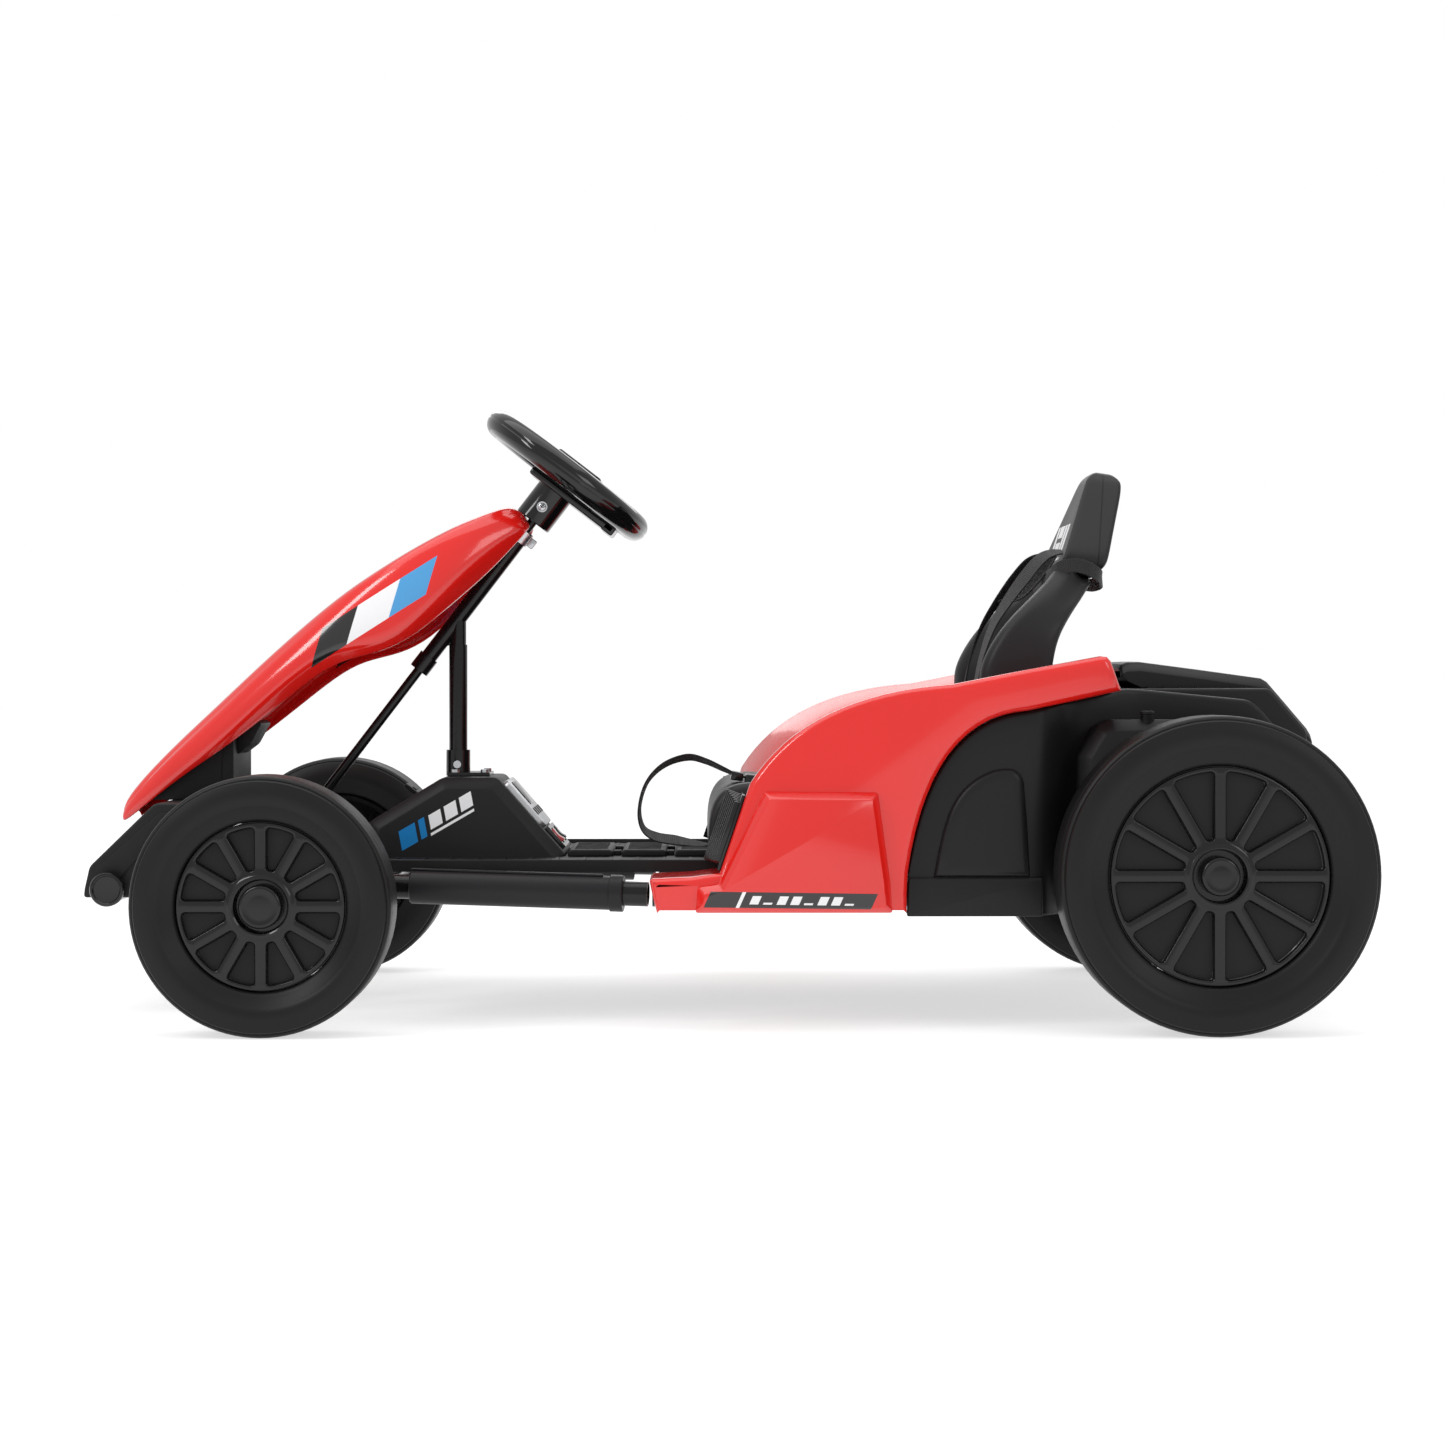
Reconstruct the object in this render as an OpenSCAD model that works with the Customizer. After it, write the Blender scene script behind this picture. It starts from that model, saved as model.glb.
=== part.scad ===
// Child's electric kart: steel tube chassis, moulded body shells, bucket seat,
// steered front wheels and powered rear wheels.
// The nose points along -X, +Y is the driver's right and the ground is z = 0.

/* [Running gear] */
// Distance between the front and rear axles
wheelbase = 899; // [890:1:905]
// Place of the rear axle behind the middle of the kart
rear_axle_x = 476; // [470:1:480]
// Width over the outer faces of the tyres
overall_w = 700; // [690:1:720]
// Width of each tyre
tyre_w = 75; // [65:1:80]
// Outside radius of the rear tyres
rear_r = 151; // [140:1:155]
// Outside radius of the front tyres
front_r = 123; // [115:1:126]
// Radius of the spoked disc in each rear wheel
rear_disc_r = 105; // [90:1:110]
// Radius of the spoked disc in each front wheel
front_disc_r = 81; // [70:1:86]
// Number of spokes in each wheel
spokes = 12; // [8:1:14]
// Radius of the axle pins
axle_r = 6; // [5:0.5:7]

/* [Frame] */
// Radius of the two side rails
rail_r = 12; // [10:0.5:12]
// Half distance between the side rails
rail_y = 232; // [228:1:236]
// Height of the side rails along the seat
rail_z = 127; // [125:1:128]
// Wall thickness of the steel tubes
tube_wall = 1.5; // [1:0.25:2]
// Half distance between the kingpins
kingpin_y = 240; // [238:1:242]

/* [Steering] */
// Lean of the steering column from the vertical, in degrees
column_lean = 37.5; // [35:0.5:40]
// Outside radius of the steering wheel
wheel_r = 102; // [95:1:105]
// Half thickness of the steering wheel's rim
rim_t = 14; // [11:0.5:15]

/* [Body shells] */
// Wall thickness of the moulded shells
wall = 4; // [3:0.5:5]
// Half width over the red side pods
pod_y = 285; // [280:1:288]
// Half width of the seat back at its bolsters
seat_y = 160; // [150:1:165]
// Half width of the headrest
head_y = 110; // [100:1:115]
// Half width of the middle console
console_y = 75; // [65:1:80]

/* [Hidden] */
$fn = 64;
run = 0.05;
front_axle_x = rear_axle_x - wheelbase;
outer_y = overall_w / 2;
inner_y = outer_y - tyre_w;
col = [-299, 355];
rail_front = [-338, 203, 134];
rail_mid = [-60, rail_y, rail_z];
rail_rear = [500, rail_y, rail_z];
spigot_r = 9.5;
rod_x = front_axle_x - 45;
rod_z = 147;
crank_r = 36.4;
bar_x = -601;
bar_z = 127;
post_x = -265;
post_r = 9.5;
post_h = 110;
slope_x = -220;
slope_z = 235;
slope_a = 49;

// Points of a quadratic curve from a to c that leans towards b
function bend(a, b, c, n = 8) =
    [for (i = [0:n]) let (t = i / n) (1 - t) * (1 - t) * a + 2 * t * (1 - t) * b + t * t * c];

// An outline in the side view, given as X and Z, drawn out along Y from y0 to y1
module side(y0, y1) {
    translate([0, y1, 0])
        rotate([90, 0, 0])
            linear_extrude(y1 - y0) children();
}

// A round bar from a to b
module bar(a, b, r) {
    d = b - a;
    flat = sqrt(d.x * d.x + d.y * d.y);
    translate(a)
        rotate([0, atan2(flat, d.z), atan2(d.y, d.x)])
            cylinder(r = r, h = norm(d));
}

// A child drawn as it is and again on the other side of the kart
module both_sides() {
    children();
    mirror([0, 1, 0]) children();
}

// A place t along the steering column, with z up the column
module on_column(t = 0) {
    translate([col.x, 0, col.y])
        rotate([0, column_lean, 0])
            translate([0, 0, t]) children();
}

// The console's rear slope, with x down the slope and z out of it
module on_slope() {
    translate([slope_x, 0, slope_z])
        rotate([0, slope_a, 0]) children();
}

// Each side rail is a front tube and a rear tube that meet at a bend inside the sleeve. The
// rear tube is swaged down at its end to take a push bar's clamp.
module side_rails() {
    bend_dir = (rail_mid - rail_front) / norm(rail_mid - rail_front);
    color("dimgray") both_sides() {
        difference() {
            bar(rail_front, rail_mid - 2 * bend_dir, rail_r);
            bar(rail_front - 3 * bend_dir, rail_mid, rail_r - tube_wall);
        }
        difference() {
            union() {
                bar(rail_mid + [2, 0, 0], rail_rear, rail_r);
                bar(rail_rear - [1, 0, 0], rail_rear + [30, 0, 0], spigot_r);
            }
            bar(rail_mid, rail_rear - [12, 0, 0], rail_r - tube_wall);
            bar(rail_rear - [13, 0, 0], rail_rear + [33, 0, 0], spigot_r - tube_wall);
        }
    }
}

// A tube across the kart at x, z that reaches y on both sides
module across(x, z, y, r) {
    bar([x, -y, z], [x, y, z], r);
}

// Tubes welded across the frame between the two rails
module cross_tubes() {
    color("dimgray") {
        across(rail_front.x + 4, rail_front.z, rail_front.y - rail_r - 1, rail_r - 1);
        across(20, rail_z, rail_y - rail_r, rail_r - 1);
        across(440, rail_z, rail_y - rail_r, rail_r - 1);
    }
}

// Two tubes that carry the bumper bar and sit on the axle beam
module front_subframe() {
    color("dimgray") both_sides()
        bar([bar_x + 15, 95, 130], [rail_front.x - 8, 95, 130], 10);
}

// Front beam with a clevis for each kingpin
module axle_beam() {
    color("dimgray") {
        across(front_axle_x, 108, 216, 12);
        both_sides() difference() {
            union() {
                translate([front_axle_x - 14, 215, 97]) cube([28, 39, 6]);
                translate([front_axle_x - 14, 215, 143]) cube([28, 39, 6]);
                translate([front_axle_x - 14, 211, 97]) cube([28, 5, 52]);
            }
            translate([front_axle_x, kingpin_y, 90]) cylinder(r = 5, h = 70);
        }
    }
}

// Bolts that the front wheel carriers turn on
module kingpins() {
    color("silver") both_sides() translate([front_axle_x, kingpin_y, 0]) {
        translate([0, 0, 93]) cylinder(r = 5, h = 60);
        translate([0, 0, 149]) cylinder(r = 8.5, h = 5, $fn = 6);
        translate([0, 0, 91]) cylinder(r = 8.5, h = 6, $fn = 6);
    }
}

module bumper_bar() {
    color("#222222") across(bar_x, bar_z, 158, 15);
}

module bar_end_caps() {
    color("#1a1a1a") both_sides()
        bar([bar_x, 158, bar_z], [bar_x, 166, bar_z], 17);
}

// Black shell over the bumper bar, open below and behind
module bumper_cover() {
    outline = [[-627, 118], [-627, 125], [-622, 149], [-556, 212], [-500, 212], [-500, 118]];
    room = [[-623, 110], [-617, 148], [-554, 207], [-490, 207], [-490, 110]];
    color("#2b2b2d") difference() {
        side(-150, 150) polygon(outline);
        side(-146, 146) polygon(room);
        across(bar_x, bar_z, 170, 15.2);
    }
}

// Black stand that holds the nose shell above the bumper shell
module nose_pylon() {
    outline = [[-572, 212.3], [-491, 212.3], [-491, 300], [-503, 300]];
    color("#2b2b2d") {
        side(-60, -56) polygon(outline);
        side(56, 60) polygon(outline);
        translate([-503, -56, 212.3]) cube([12, 112, 87]);
        translate([-488, -20, 262]) cube([14, 40, 4]);
        translate([-491, -20, 262]) cube([4, 40, 30]);
    }
}

// Red nose shell, open below, with a hole for the steering shaft at its top end
module nose_cover() {
    ridge = [[-605, 196], [-603, 212], [-533, 285], [-458, 352], [-388, 413], [-332, 451],
        [-285, 481], [-240, 503], [-208, 514], [-190, 497]];
    belly = [[-190, 491], [-240, 436], [-291, 393], [-310, 374], [-334, 365], [-385, 355],
        [-477, 286], [-500, 269], [-575, 212], [-603, 191]];
    half = [[-610, 62], [-560, 80], [-460, 104], [-350, 106], [-240, 72], [-185, 50]];
    module plan(less) {
        pts = [for (p = half) [p.x, p.y - less]];
        translate([0, 0, 100])
            linear_extrude(500)
                polygon(concat(pts, [for (i = [len(pts) - 1:-1:0]) [pts[i].x, -pts[i].y]]));
    }
    color("#e8392f") difference() {
        intersection() {
            side(-120, 120) polygon(concat(ridge, belly));
            plan(0);
        }
        intersection() {
            translate([4, 0, -4.5]) side(-120, 120) polygon(concat(ridge, belly));
            plan(wall);
        }
        translate([0, 0, -4.5]) intersection() {
            side(-120, 120) polygon([[-598, 205], [-470, 320], [-330, 430], [-240, 480],
                [-215, 480], [-300, 360], [-480, 270]]);
            plan(wall);
        }
        on_column(120) cylinder(r = 13, h = 90);
    }
}

// Upright tube that props the steering column on the console
module column_post() {
    color("#1c1c1e") {
        translate([post_x, 0, slope_z + 4.2]) cylinder(r = post_r - 1.5, h = 23);
        translate([post_x, 0, slope_z + 27]) cylinder(r = post_r, h = post_h);
    }
}

// Socket and foot plate for the upright tube
module post_socket() {
    color("#1c1c1e") difference() {
        union() {
            translate([post_x, 0, slope_z]) cylinder(r = post_r + 3, h = 27);
            translate([post_x - 9, -30, slope_z]) cube([44, 60, 4]);
        }
        translate([post_x, 0, slope_z + 4]) cylinder(r = post_r - 1.5 + run, h = 40);
    }
}

// Outer tube of the steering column, with a thicker lower end and a welded foot for the post
module column_tube() {
    foot_z = slope_z + 27 + post_h;
    color("#1c1c1e") difference() {
        union() {
            on_column(0) cylinder(r = 8.5, h = 172);
            on_column(-12) cylinder(r = 10.5, h = 18);
            translate([post_x, 0, foot_z]) cylinder(r = post_r - 1.2, h = 26);
            side(-2, 2) polygon([[post_x, foot_z + 2], [post_x, foot_z + 20], [-290, foot_z - 5]]);
        }
        on_column(-20) cylinder(r = 6.5, h = 220);
    }
}

// Plastic bushes that the steering shaft turns in
module column_bushes() {
    color("#d8d8d2") for (t = [-12, 158]) difference() {
        on_column(t) cylinder(r = 6.5, h = 14);
        on_column(t - 5) cylinder(r = 5 + run, h = 30);
    }
}

// Ring ahead of the front beam that steadies the foot of the steering shaft
module lower_bearing() {
    color("dimgray") difference() {
        union() {
            on_column(-240) cylinder(r = 11, h = 14);
            side(-5, 5) polygon([[-430, 119.5], [-412, 119.5], [-426, 170], [-434, 164]]);
        }
        on_column(-244) cylinder(r = 5 + run, h = 30);
        across(front_axle_x, 108, 30, 12);
    }
}

// Hollow hump between the driver's legs
module console() {
    outline = [[-350, 154], [-350, 190], [-274, slope_z], [slope_x, slope_z], [-150, 154.5],
        [-150, 154]];
    room = [[-346, 150], [-346, 188], [-273, slope_z - wall], [slope_x - 2, slope_z - wall],
        [-156, 150]];
    color("#2b2b2d") difference() {
        side(-console_y, console_y) polygon(outline);
        side(wall - console_y, console_y - wall) polygon(room);
    }
}

// Raised panel on the console's rear slope with pockets for the two rockers
module control_panel() {
    color("silver") on_slope() difference() {
        union() {
            translate([8, -55, 0.2]) cube([62, 110, 5]);
            translate([14, -30, 5]) cube([28, 60, 1.5]);
            translate([72, -45, 0.2]) cube([28, 90, 5]);
        }
        for (y = [-22, 22]) {
            translate([76, y - 10, -1]) cube([20, 20, 8]);
            translate([86, y - 11.5, 2.6]) rotate([-90, 0, 0]) cylinder(r = 1.55, h = 23);
        }
    }
}

// A rocker switch at y across the slope, resting tipped to its off side
module rocker(y) {
    on_slope() translate([86, y, 2.6]) rotate([0, -7, 0]) {
        translate([-8.2, -8.6, -1.6]) cube([16.4, 17.2, 5.6]);
        translate([0, -11, 0]) rotate([-90, 0, 0]) cylinder(r = 1.5, h = 22);
    }
}

module power_rocker() {
    color("#c02020") rocker(-22);
}

module direction_rocker() {
    color("#1a1a1a") rocker(22);
}

// Footwell floor with three treads along the middle
module floor_pan() {
    color("#2b2b2d") difference() {
        union() {
            translate([-342, -200, 146.2]) cube([350, 400, 7.6]);
            for (x = [-148, -93, -38])
                translate([x, -70, 153]) cube([48, 140, 8]);
            both_sides() translate([-342, 196, 146.2]) cube([335, 4, 13]);
        }
        both_sides() {
            translate([-345, 180, 140]) rotate([0, 0, 6]) cube([80, 60, 30]);
            translate([-5, 194.8, 140]) cube([20, 10, 30]);
        }
    }
}

// Plastic grips over the side rails
module side_sleeves() {
    dir = (rail_mid - rail_front) / norm(rail_mid - rail_front);
    color("#252527") both_sides() difference() {
        union() {
            bar(rail_front + 44 * dir, rail_mid - 27 * dir, 16.5);
            bar(rail_mid - 39 * dir, rail_mid - 26 * dir, 18);
        }
        bar(rail_front, rail_mid, rail_r + run);
    }
}

// Outline of the join between a side pod and its fender, from top to bottom
function pod_join() = concat(bend([302, 306], [208, 300], [187, 151]), [[186, 112]]);

// Red shell beside the seat: outer wall, top skin and front skin
module pod() {
    outline = concat([[-53, 112], [-60, 144], [7, 150], [36, 236]],
        bend([36, 236], [90, 322], [229, 331]), [[371, 358], [381, 353], [391, 325]],
        pod_join());
    color("#e8392f") difference() {
        union() {
            side(195, pod_y) polygon(outline);
            side(pod_y - 1, pod_y + 12)
                polygon([[8, 112], [8, 142], [52, 229], [158, 228], [172, 140], [174, 112]]);
        }
        translate([5, 0, -wall]) side(190, pod_y - wall) polygon(outline);
        side(190, pod_y - wall) polygon([[20, 100], [50, 200], [186, 200], [400, 320], [400, 90]]);
        bar(rail_mid - [60, 0, 0], rail_rear, rail_r + 0.3);
        bar(rail_front, rail_mid, rail_r + 0.3);
        translate([-64, 190, 100]) cube([60, 22, 60]);
    }
}

module pod_r() {
    pod();
}

module pod_l() {
    mirror([0, 1, 0]) pod();
}

// Ribbed black grilles on the pods' front faces
module grilles() {
    color("#1c1c1e") both_sides()
        translate([7, 0, 150.5])
            rotate([0, 18.6, 0])
                translate([-3.4, 200, 2]) {
                    cube([3, 76, 76]);
                    for (i = [0:6]) translate([-5, 3 + i * 11, 2]) cube([5.5, 4, 72]);
                }
}

// Lower bucket of the seat, a shell open below
module seat_base() {
    outline = concat([[0, 162], [0, 182]], bend([0, 182], [6, 222], [36, 226], 5),
        [[90, 216], [300, 196], [328, 215], [328, 162]]);
    color("#333335") difference() {
        side(-184, 184) polygon(outline);
        translate([3, 0, -wall]) side(-180, 180)
            polygon(concat([[1, 140], [1, 182]], bend([1, 182], [8, 220], [36, 226], 5),
                [[90, 216], [298, 196], [321, 213], [321, 140]]));
    }
}

// A place on the seat's neck, where the woven band goes round it
module on_neck() {
    translate([367.5, 0, 446]) rotate([0, 22.4, 0]) children();
}

// Back of the seat with two bolsters, a grooved neck and a headrest
module seat_back() {
    panel = [[329, 200], [345, 200], [346, 365], [385, 432], [364, 445], [318, 368]];
    bolster = [[280, 226], [268, 337], [289, 385], [321, 417], [352, 450], [385, 432],
        [354, 386], [343, 352], [329, 226]];
    head = [[352, 450], [357, 464], [390, 544], [411, 552], [424, 541], [402, 452], [385, 432]];
    taper = [[head_y, 400], [head_y, 440], [head_y - 12, 468], [26, 560], [-26, 560],
        [12 - head_y, 468], [-head_y, 440], [-head_y, 400]];
    color("#333335") difference() {
        union() {
            side(-head_y, head_y) polygon(panel);
            intersection() {
                side(-head_y, head_y) polygon(head);
                translate([300, 0, 0]) rotate([90, 0, 90]) linear_extrude(150) polygon(taper);
            }
            both_sides() side(head_y - 4, seat_y) polygon(bolster);
        }
        both_sides() {
            translate([330, 44, 463]) cube([90, 34, 9]);
            translate([380, head_y, 400]) cube([60, 80, 60]);
            translate([340, head_y, 425]) cube([60, 80, 60]);
        }
        on_neck() difference() {
            cube([90, 2 * head_y + 40, 17], center = true);
            cube([39, 2 * head_y + 0.6, 20], center = true);
        }
    }
}

// Woven band round the neck of the seat back
module seat_band() {
    color("#161616") on_neck() difference() {
        cube([44, 2 * head_y + 8, 16], center = true);
        cube([40, 2 * head_y + 1, 20], center = true);
    }
}

// An outline of a strap of the given thickness along points in the side view
module strap_line(pts, thick) {
    for (i = [0:len(pts) - 2]) {
        d = pts[i + 1] - pts[i];
        n = thick / 2 * [-d.y, d.x] / norm(d);
        polygon([pts[i] - n, pts[i + 1] - n, pts[i + 1] + n, pts[i] + n]);
    }
    for (i = [1:len(pts) - 2]) translate(pts[i]) circle(r = thick / 2, $fn = 16);
}

// Shoulder straps from the headrest slots down to the seat
module shoulder_belts() {
    pts = [[372, 468], [345, 462], [296, 405], [262, 340], [262, 228]];
    color("#161616") both_sides() side(48, 73) strap_line(pts, 2);
}

// Crotch strap that stands up in a loop from the buckle to the seat's front edge
module belt_loop() {
    start = bend([34, 233], [10, 256], [-26, 258], 3);
    turn = bend([-26, 258], [-96, 250], [-72, 190], 5);
    foot = bend([-72, 190], [-56, 172], [-3, 164], 3);
    pts = concat(start, [for (i = [1:5]) turn[i]], [for (i = [1:3]) foot[i]]);
    color("#161616") side(-12.5, 12.5) strap_line(pts, 2);
}

module buckle() {
    color("#101010") translate([36, -18, 226.4]) rotate([0, 10, 0]) cube([44, 36, 12]);
}

// Black shells between the pods and the rear wheels
module fenders() {
    join = pod_join();
    outline = concat([[187, 109]], [for (i = [len(join) - 2:-1:0]) join[i] + [1, -1]],
        [[391, 323], [402, 326], [411, 322], [405, 240], [401, 109]]);
    module plan(less) {
        linear_extrude(400)
            polygon([[180, 180], [180, 270 - less], [317, 270 - less], [345, 236 - less],
                [411, 210 - less], [411, 180]]);
    }
    color("#2b2b2d") both_sides() difference() {
        intersection() {
            side(185, 270) polygon(outline);
            plan(0);
        }
        intersection() {
            translate([-4, 0, -4]) side(180, 280) polygon(outline);
            plan(wall);
        }
        bar(rail_mid, rail_rear, rail_r + 0.3);
        bar([300, 195, 90], [300, 195, 210], 8);
    }
}

// Black tray behind the seat that holds the batteries
module rear_body() {
    outline = [[346, 160], [590, 160], [590, 284], [553, 328], [346, 328]];
    room = [[350, 164], [586, 164], [586, 282], [546, 330], [350, 330]];
    color("#2b2b2d") difference() {
        side(-178, 178) polygon(outline);
        side(-174, 174) polygon(room);
    }
}

// Lid over the battery tray
module rear_cover() {
    outline = [[420, 329], [414, 340], [408, 350], [427, 352], [555, 334], [599, 281], [599, 272],
        [592, 272], [592, 283], [554, 329]];
    room = [[426, 320], [426, 341], [430, 346], [546, 330], [552, 320]];
    color("#2b2b2d") difference() {
        side(-150, 150) polygon(outline);
        side(-146, 146) polygon(room);
    }
}

module batteries() {
    color("#3a3a3c") both_sides() translate([430, 8, 164.2]) cube([65, 151, 95]);
}

module controller() {
    color("#9a9a9a") translate([520, -50, 164.2]) cube([50, 100, 32]);
}

// Drive housings beside the rear wheels, each with a short rubber post on top
module gearboxes() {
    outline = [[353, 162], [353, 258], [372, 290], [384, 296], [446, 296], [500, 240], [516, 165],
        [500, 134], [380, 134]];
    color("#242426") both_sides() {
        difference() {
            side(244, 270) polygon(outline);
            bar([rear_axle_x, 230, rear_r], [rear_axle_x, 280, rear_r], 20);
        }
        translate([419, 257, 296]) cylinder(r = 6.5, h = 9);
    }
}

module motors() {
    color("#8a8a8c") both_sides() bar([440, 182, 236], [440, 243.7, 236], 23);
}

// Rear axle rod and the plates that hold it on the rails
module rear_axle() {
    color("silver") {
        across(rear_axle_x, rear_r, outer_y - 18, axle_r);
        both_sides() difference() {
            translate([rear_axle_x - 20, 229, 138]) cube([40, 6, 30]);
            bar(rail_mid, rail_rear, rail_r);
        }
        both_sides() bar([rear_axle_x, outer_y - 18, rear_r],
            [rear_axle_x, outer_y - 12, rear_r], 9);
    }
}

// Foot of the accelerator pedal
module pedal_base() {
    color("#1c1c1e") difference() {
        union() {
            translate([-330, 100, 153.8]) cube([66, 62, 5]);
            for (y = [100, 156]) translate([-276, y, 153.8]) cube([16, 6, 20]);
        }
        translate([-268, 98, 167]) rotate([-90, 0, 0]) cylinder(r = 3, h = 66);
    }
    color("silver") translate([-268, 98, 167]) rotate([-90, 0, 0]) cylinder(r = 3, h = 66);
}

// Accelerator plate, hinged at its heel
module pedal() {
    color("#242426") translate([-268, 106.5, 167]) difference() {
        union() {
            rotate([-90, 0, 0]) cylinder(r = 6, h = 49);
            rotate([0, 38, 0]) translate([-84, 0, 0]) cube([84, 49, 6]);
        }
        translate([0, -2, 0]) rotate([-90, 0, 0]) cylinder(r = 3 + run, h = 60);
    }
}

// Screws and bolts that show
module fasteners() {
    color("silver") {
        bar([post_x, -15.5, 247], [post_x, -12.5, 247], 4);
        both_sides() for (x = [-266, -236])
            translate([x, 22, slope_z + 4]) cylinder(r = 4, h = 3, $fn = 6);
        both_sides() for (x = [150, 300])
            translate([x, rail_y, rail_z - rail_r - 3]) cylinder(r = 5, h = 3, $fn = 6);
    }
}

// Shaft inside the steering column, with a crank at its foot
module steering_shaft() {
    color("#1c1c1e") {
        on_column(-254) cylinder(r = 5, h = 484);
        on_column(-254) {
            cylinder(r = 8, h = 6);
            translate([-crank_r, -7, 0]) cube([crank_r, 14, 6]);
            translate([-crank_r, 0, 0]) cylinder(r = 7, h = 6);
            translate([-crank_r, 0, -14]) cylinder(r = 4, h = 15);
        }
    }
}

// Hub sleeve between the shaft and the steering wheel, with its cross screw
module steering_hub() {
    color("#161616") difference() {
        union() {
            on_column(184) cylinder(r = 20, h = 42);
            on_column(224) cylinder(r = 24, h = 6);
        }
        on_column(180) cylinder(r = 5, h = 60);
    }
    color("silver") on_column(202) rotate([90, 0, 0]) translate([0, 0, 19.5]) cylinder(r = 4, h = 2.5);
}

// Rim, three spokes and centre pad of the steering wheel
module steering_wheel() {
    rim_r = wheel_r - rim_t;
    color("#161616") difference() {
        on_column(244) {
            rotate_extrude() translate([rim_r, 0]) circle(r = rim_t, $fn = 32);
            for (a = [90, 180, 270]) rotate([0, 0, a]) translate([20, -13, -6]) cube([rim_r - 24, 26, 9]);
            translate([-36, -38, -13.8]) cube([80, 76, 24]);
            translate([18, -30, 10]) cube([24, 60, 6]);
        }
        on_column(220) cylinder(r = 5, h = 10);
        on_column(228) cylinder(r = 24.5, h = 2);
        on_column(244) translate([-14, 0, 2]) cylinder(r = 12.3, h = 20);
    }
}

// Horn button in the middle of the pad
module horn_button() {
    color("#c02020") on_column(250) translate([-14, 0, 0]) cylinder(r = 12, h = 7);
}

// Wheel carrier: kingpin barrel, stub axle and steering arm
module knuckle() {
    color("#55565a") {
        difference() {
            union() {
                translate([front_axle_x, kingpin_y, 103.3]) cylinder(r = 11, h = 39.4);
                bar([front_axle_x, kingpin_y + 6, front_r], [front_axle_x, outer_y - 18, front_r],
                    axle_r);
                translate([rod_x, kingpin_y - 7, 133.5]) cube([45, 14, 8]);
                translate([rod_x, kingpin_y, 133.5]) cylinder(r = 9, h = 8);
            }
            translate([front_axle_x, kingpin_y, 90]) cylinder(r = 5 + run, h = 70);
        }
        bar([front_axle_x, outer_y - 18, front_r], [front_axle_x, outer_y - 12, front_r], 9);
        translate([rod_x, kingpin_y, 140]) cylinder(r = 4, h = 16);
    }
}

module knuckle_r() {
    knuckle();
}

module knuckle_l() {
    mirror([0, 1, 0]) knuckle();
}

// Rod that joins the two steering arms, with a fork round the crank's pin
module track_rod() {
    color("#55565a") difference() {
        union() {
            across(rod_x, rod_z, kingpin_y - 6, 5);
            both_sides() translate([rod_x, kingpin_y, rod_z - 5]) cylinder(r = 9, h = 10);
            on_column(0) {
                translate([-46, -10, -277]) cube([46, 20, 6]);
                for (y = [-9.5, 4.5]) translate([-45, y, -273]) cube([17, 5, 15]);
            }
        }
        both_sides() translate([rod_x, kingpin_y, rod_z - 10]) cylinder(r = 4 + run, h = 30);
    }
}

// Tyre of radius r round a disc of radius disc, on the side of +Y
module tyre(x, r, disc) {
    color("#222223") translate([x, inner_y, r]) rotate([-90, 0, 0]) rotate_extrude()
        polygon([[disc, 4], [disc + 6, 0], [r - 12, 0], [r - 3, 6], [r, 14], [r, tyre_w - 14],
            [r - 3, tyre_w - 6], [r - 12, tyre_w], [r - 24, tyre_w], [disc + 3, tyre_w - 8],
            [disc, tyre_w - 10]]);
}

// Spoked wheel inside a tyre: hub, disc, barrel and raised spokes
module rim(x, r, disc) {
    color("#161616") translate([x, inner_y, r]) rotate([-90, 0, 0]) difference() {
        union() {
            difference() {
                translate([0, 0, 4]) cylinder(r = disc, h = tyre_w - 14);
                translate([0, 0, -1]) cylinder(r = disc - 5, h = tyre_w - 25);
                translate([0, 0, tyre_w - 18]) cylinder(r = disc - 5, h = 20);
            }
            cylinder(r = 16, h = tyre_w - 20);
            translate([0, 0, tyre_w - 24]) cylinder(r = 31, h = 20);
            for (i = [0:spokes - 1]) rotate([0, 0, i * 360 / spokes])
                translate([28, -3.5, tyre_w - 20]) cube([disc - 30, 7, 10]);
        }
        translate([0, 0, -1]) cylinder(r = axle_r + run, h = 90);
        translate([0, 0, tyre_w - 22]) cylinder(r = 18, h = 30);
    }
}

// Domed cap over the end of an axle
module cap(x, r) {
    color("#161616") translate([x, inner_y, r]) rotate([-90, 0, 0]) {
        difference() {
            translate([0, 0, tyre_w - 21]) cylinder(r = 18, h = 18);
            translate([0, 0, tyre_w - 23]) cylinder(r = 14, h = 15);
        }
        translate([0, 0, tyre_w - 3]) cylinder(r = 14, h = 2.5);
    }
}

module front_tyre_r() {
    tyre(front_axle_x, front_r, front_disc_r);
}

module front_tyre_l() {
    mirror([0, 1, 0]) front_tyre_r();
}

module front_rim_r() {
    rim(front_axle_x, front_r, front_disc_r);
}

module front_rim_l() {
    mirror([0, 1, 0]) front_rim_r();
}

module front_cap_r() {
    cap(front_axle_x, front_r);
}

module front_cap_l() {
    mirror([0, 1, 0]) front_cap_r();
}

module rear_tyre_r() {
    tyre(rear_axle_x, rear_r, rear_disc_r);
}

module rear_tyre_l() {
    mirror([0, 1, 0]) rear_tyre_r();
}

module rear_rim_r() {
    rim(rear_axle_x, rear_r, rear_disc_r);
}

module rear_rim_l() {
    mirror([0, 1, 0]) rear_rim_r();
}

module rear_cap_r() {
    cap(rear_axle_x, rear_r);
}

module rear_cap_l() {
    mirror([0, 1, 0]) rear_cap_r();
}

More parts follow.
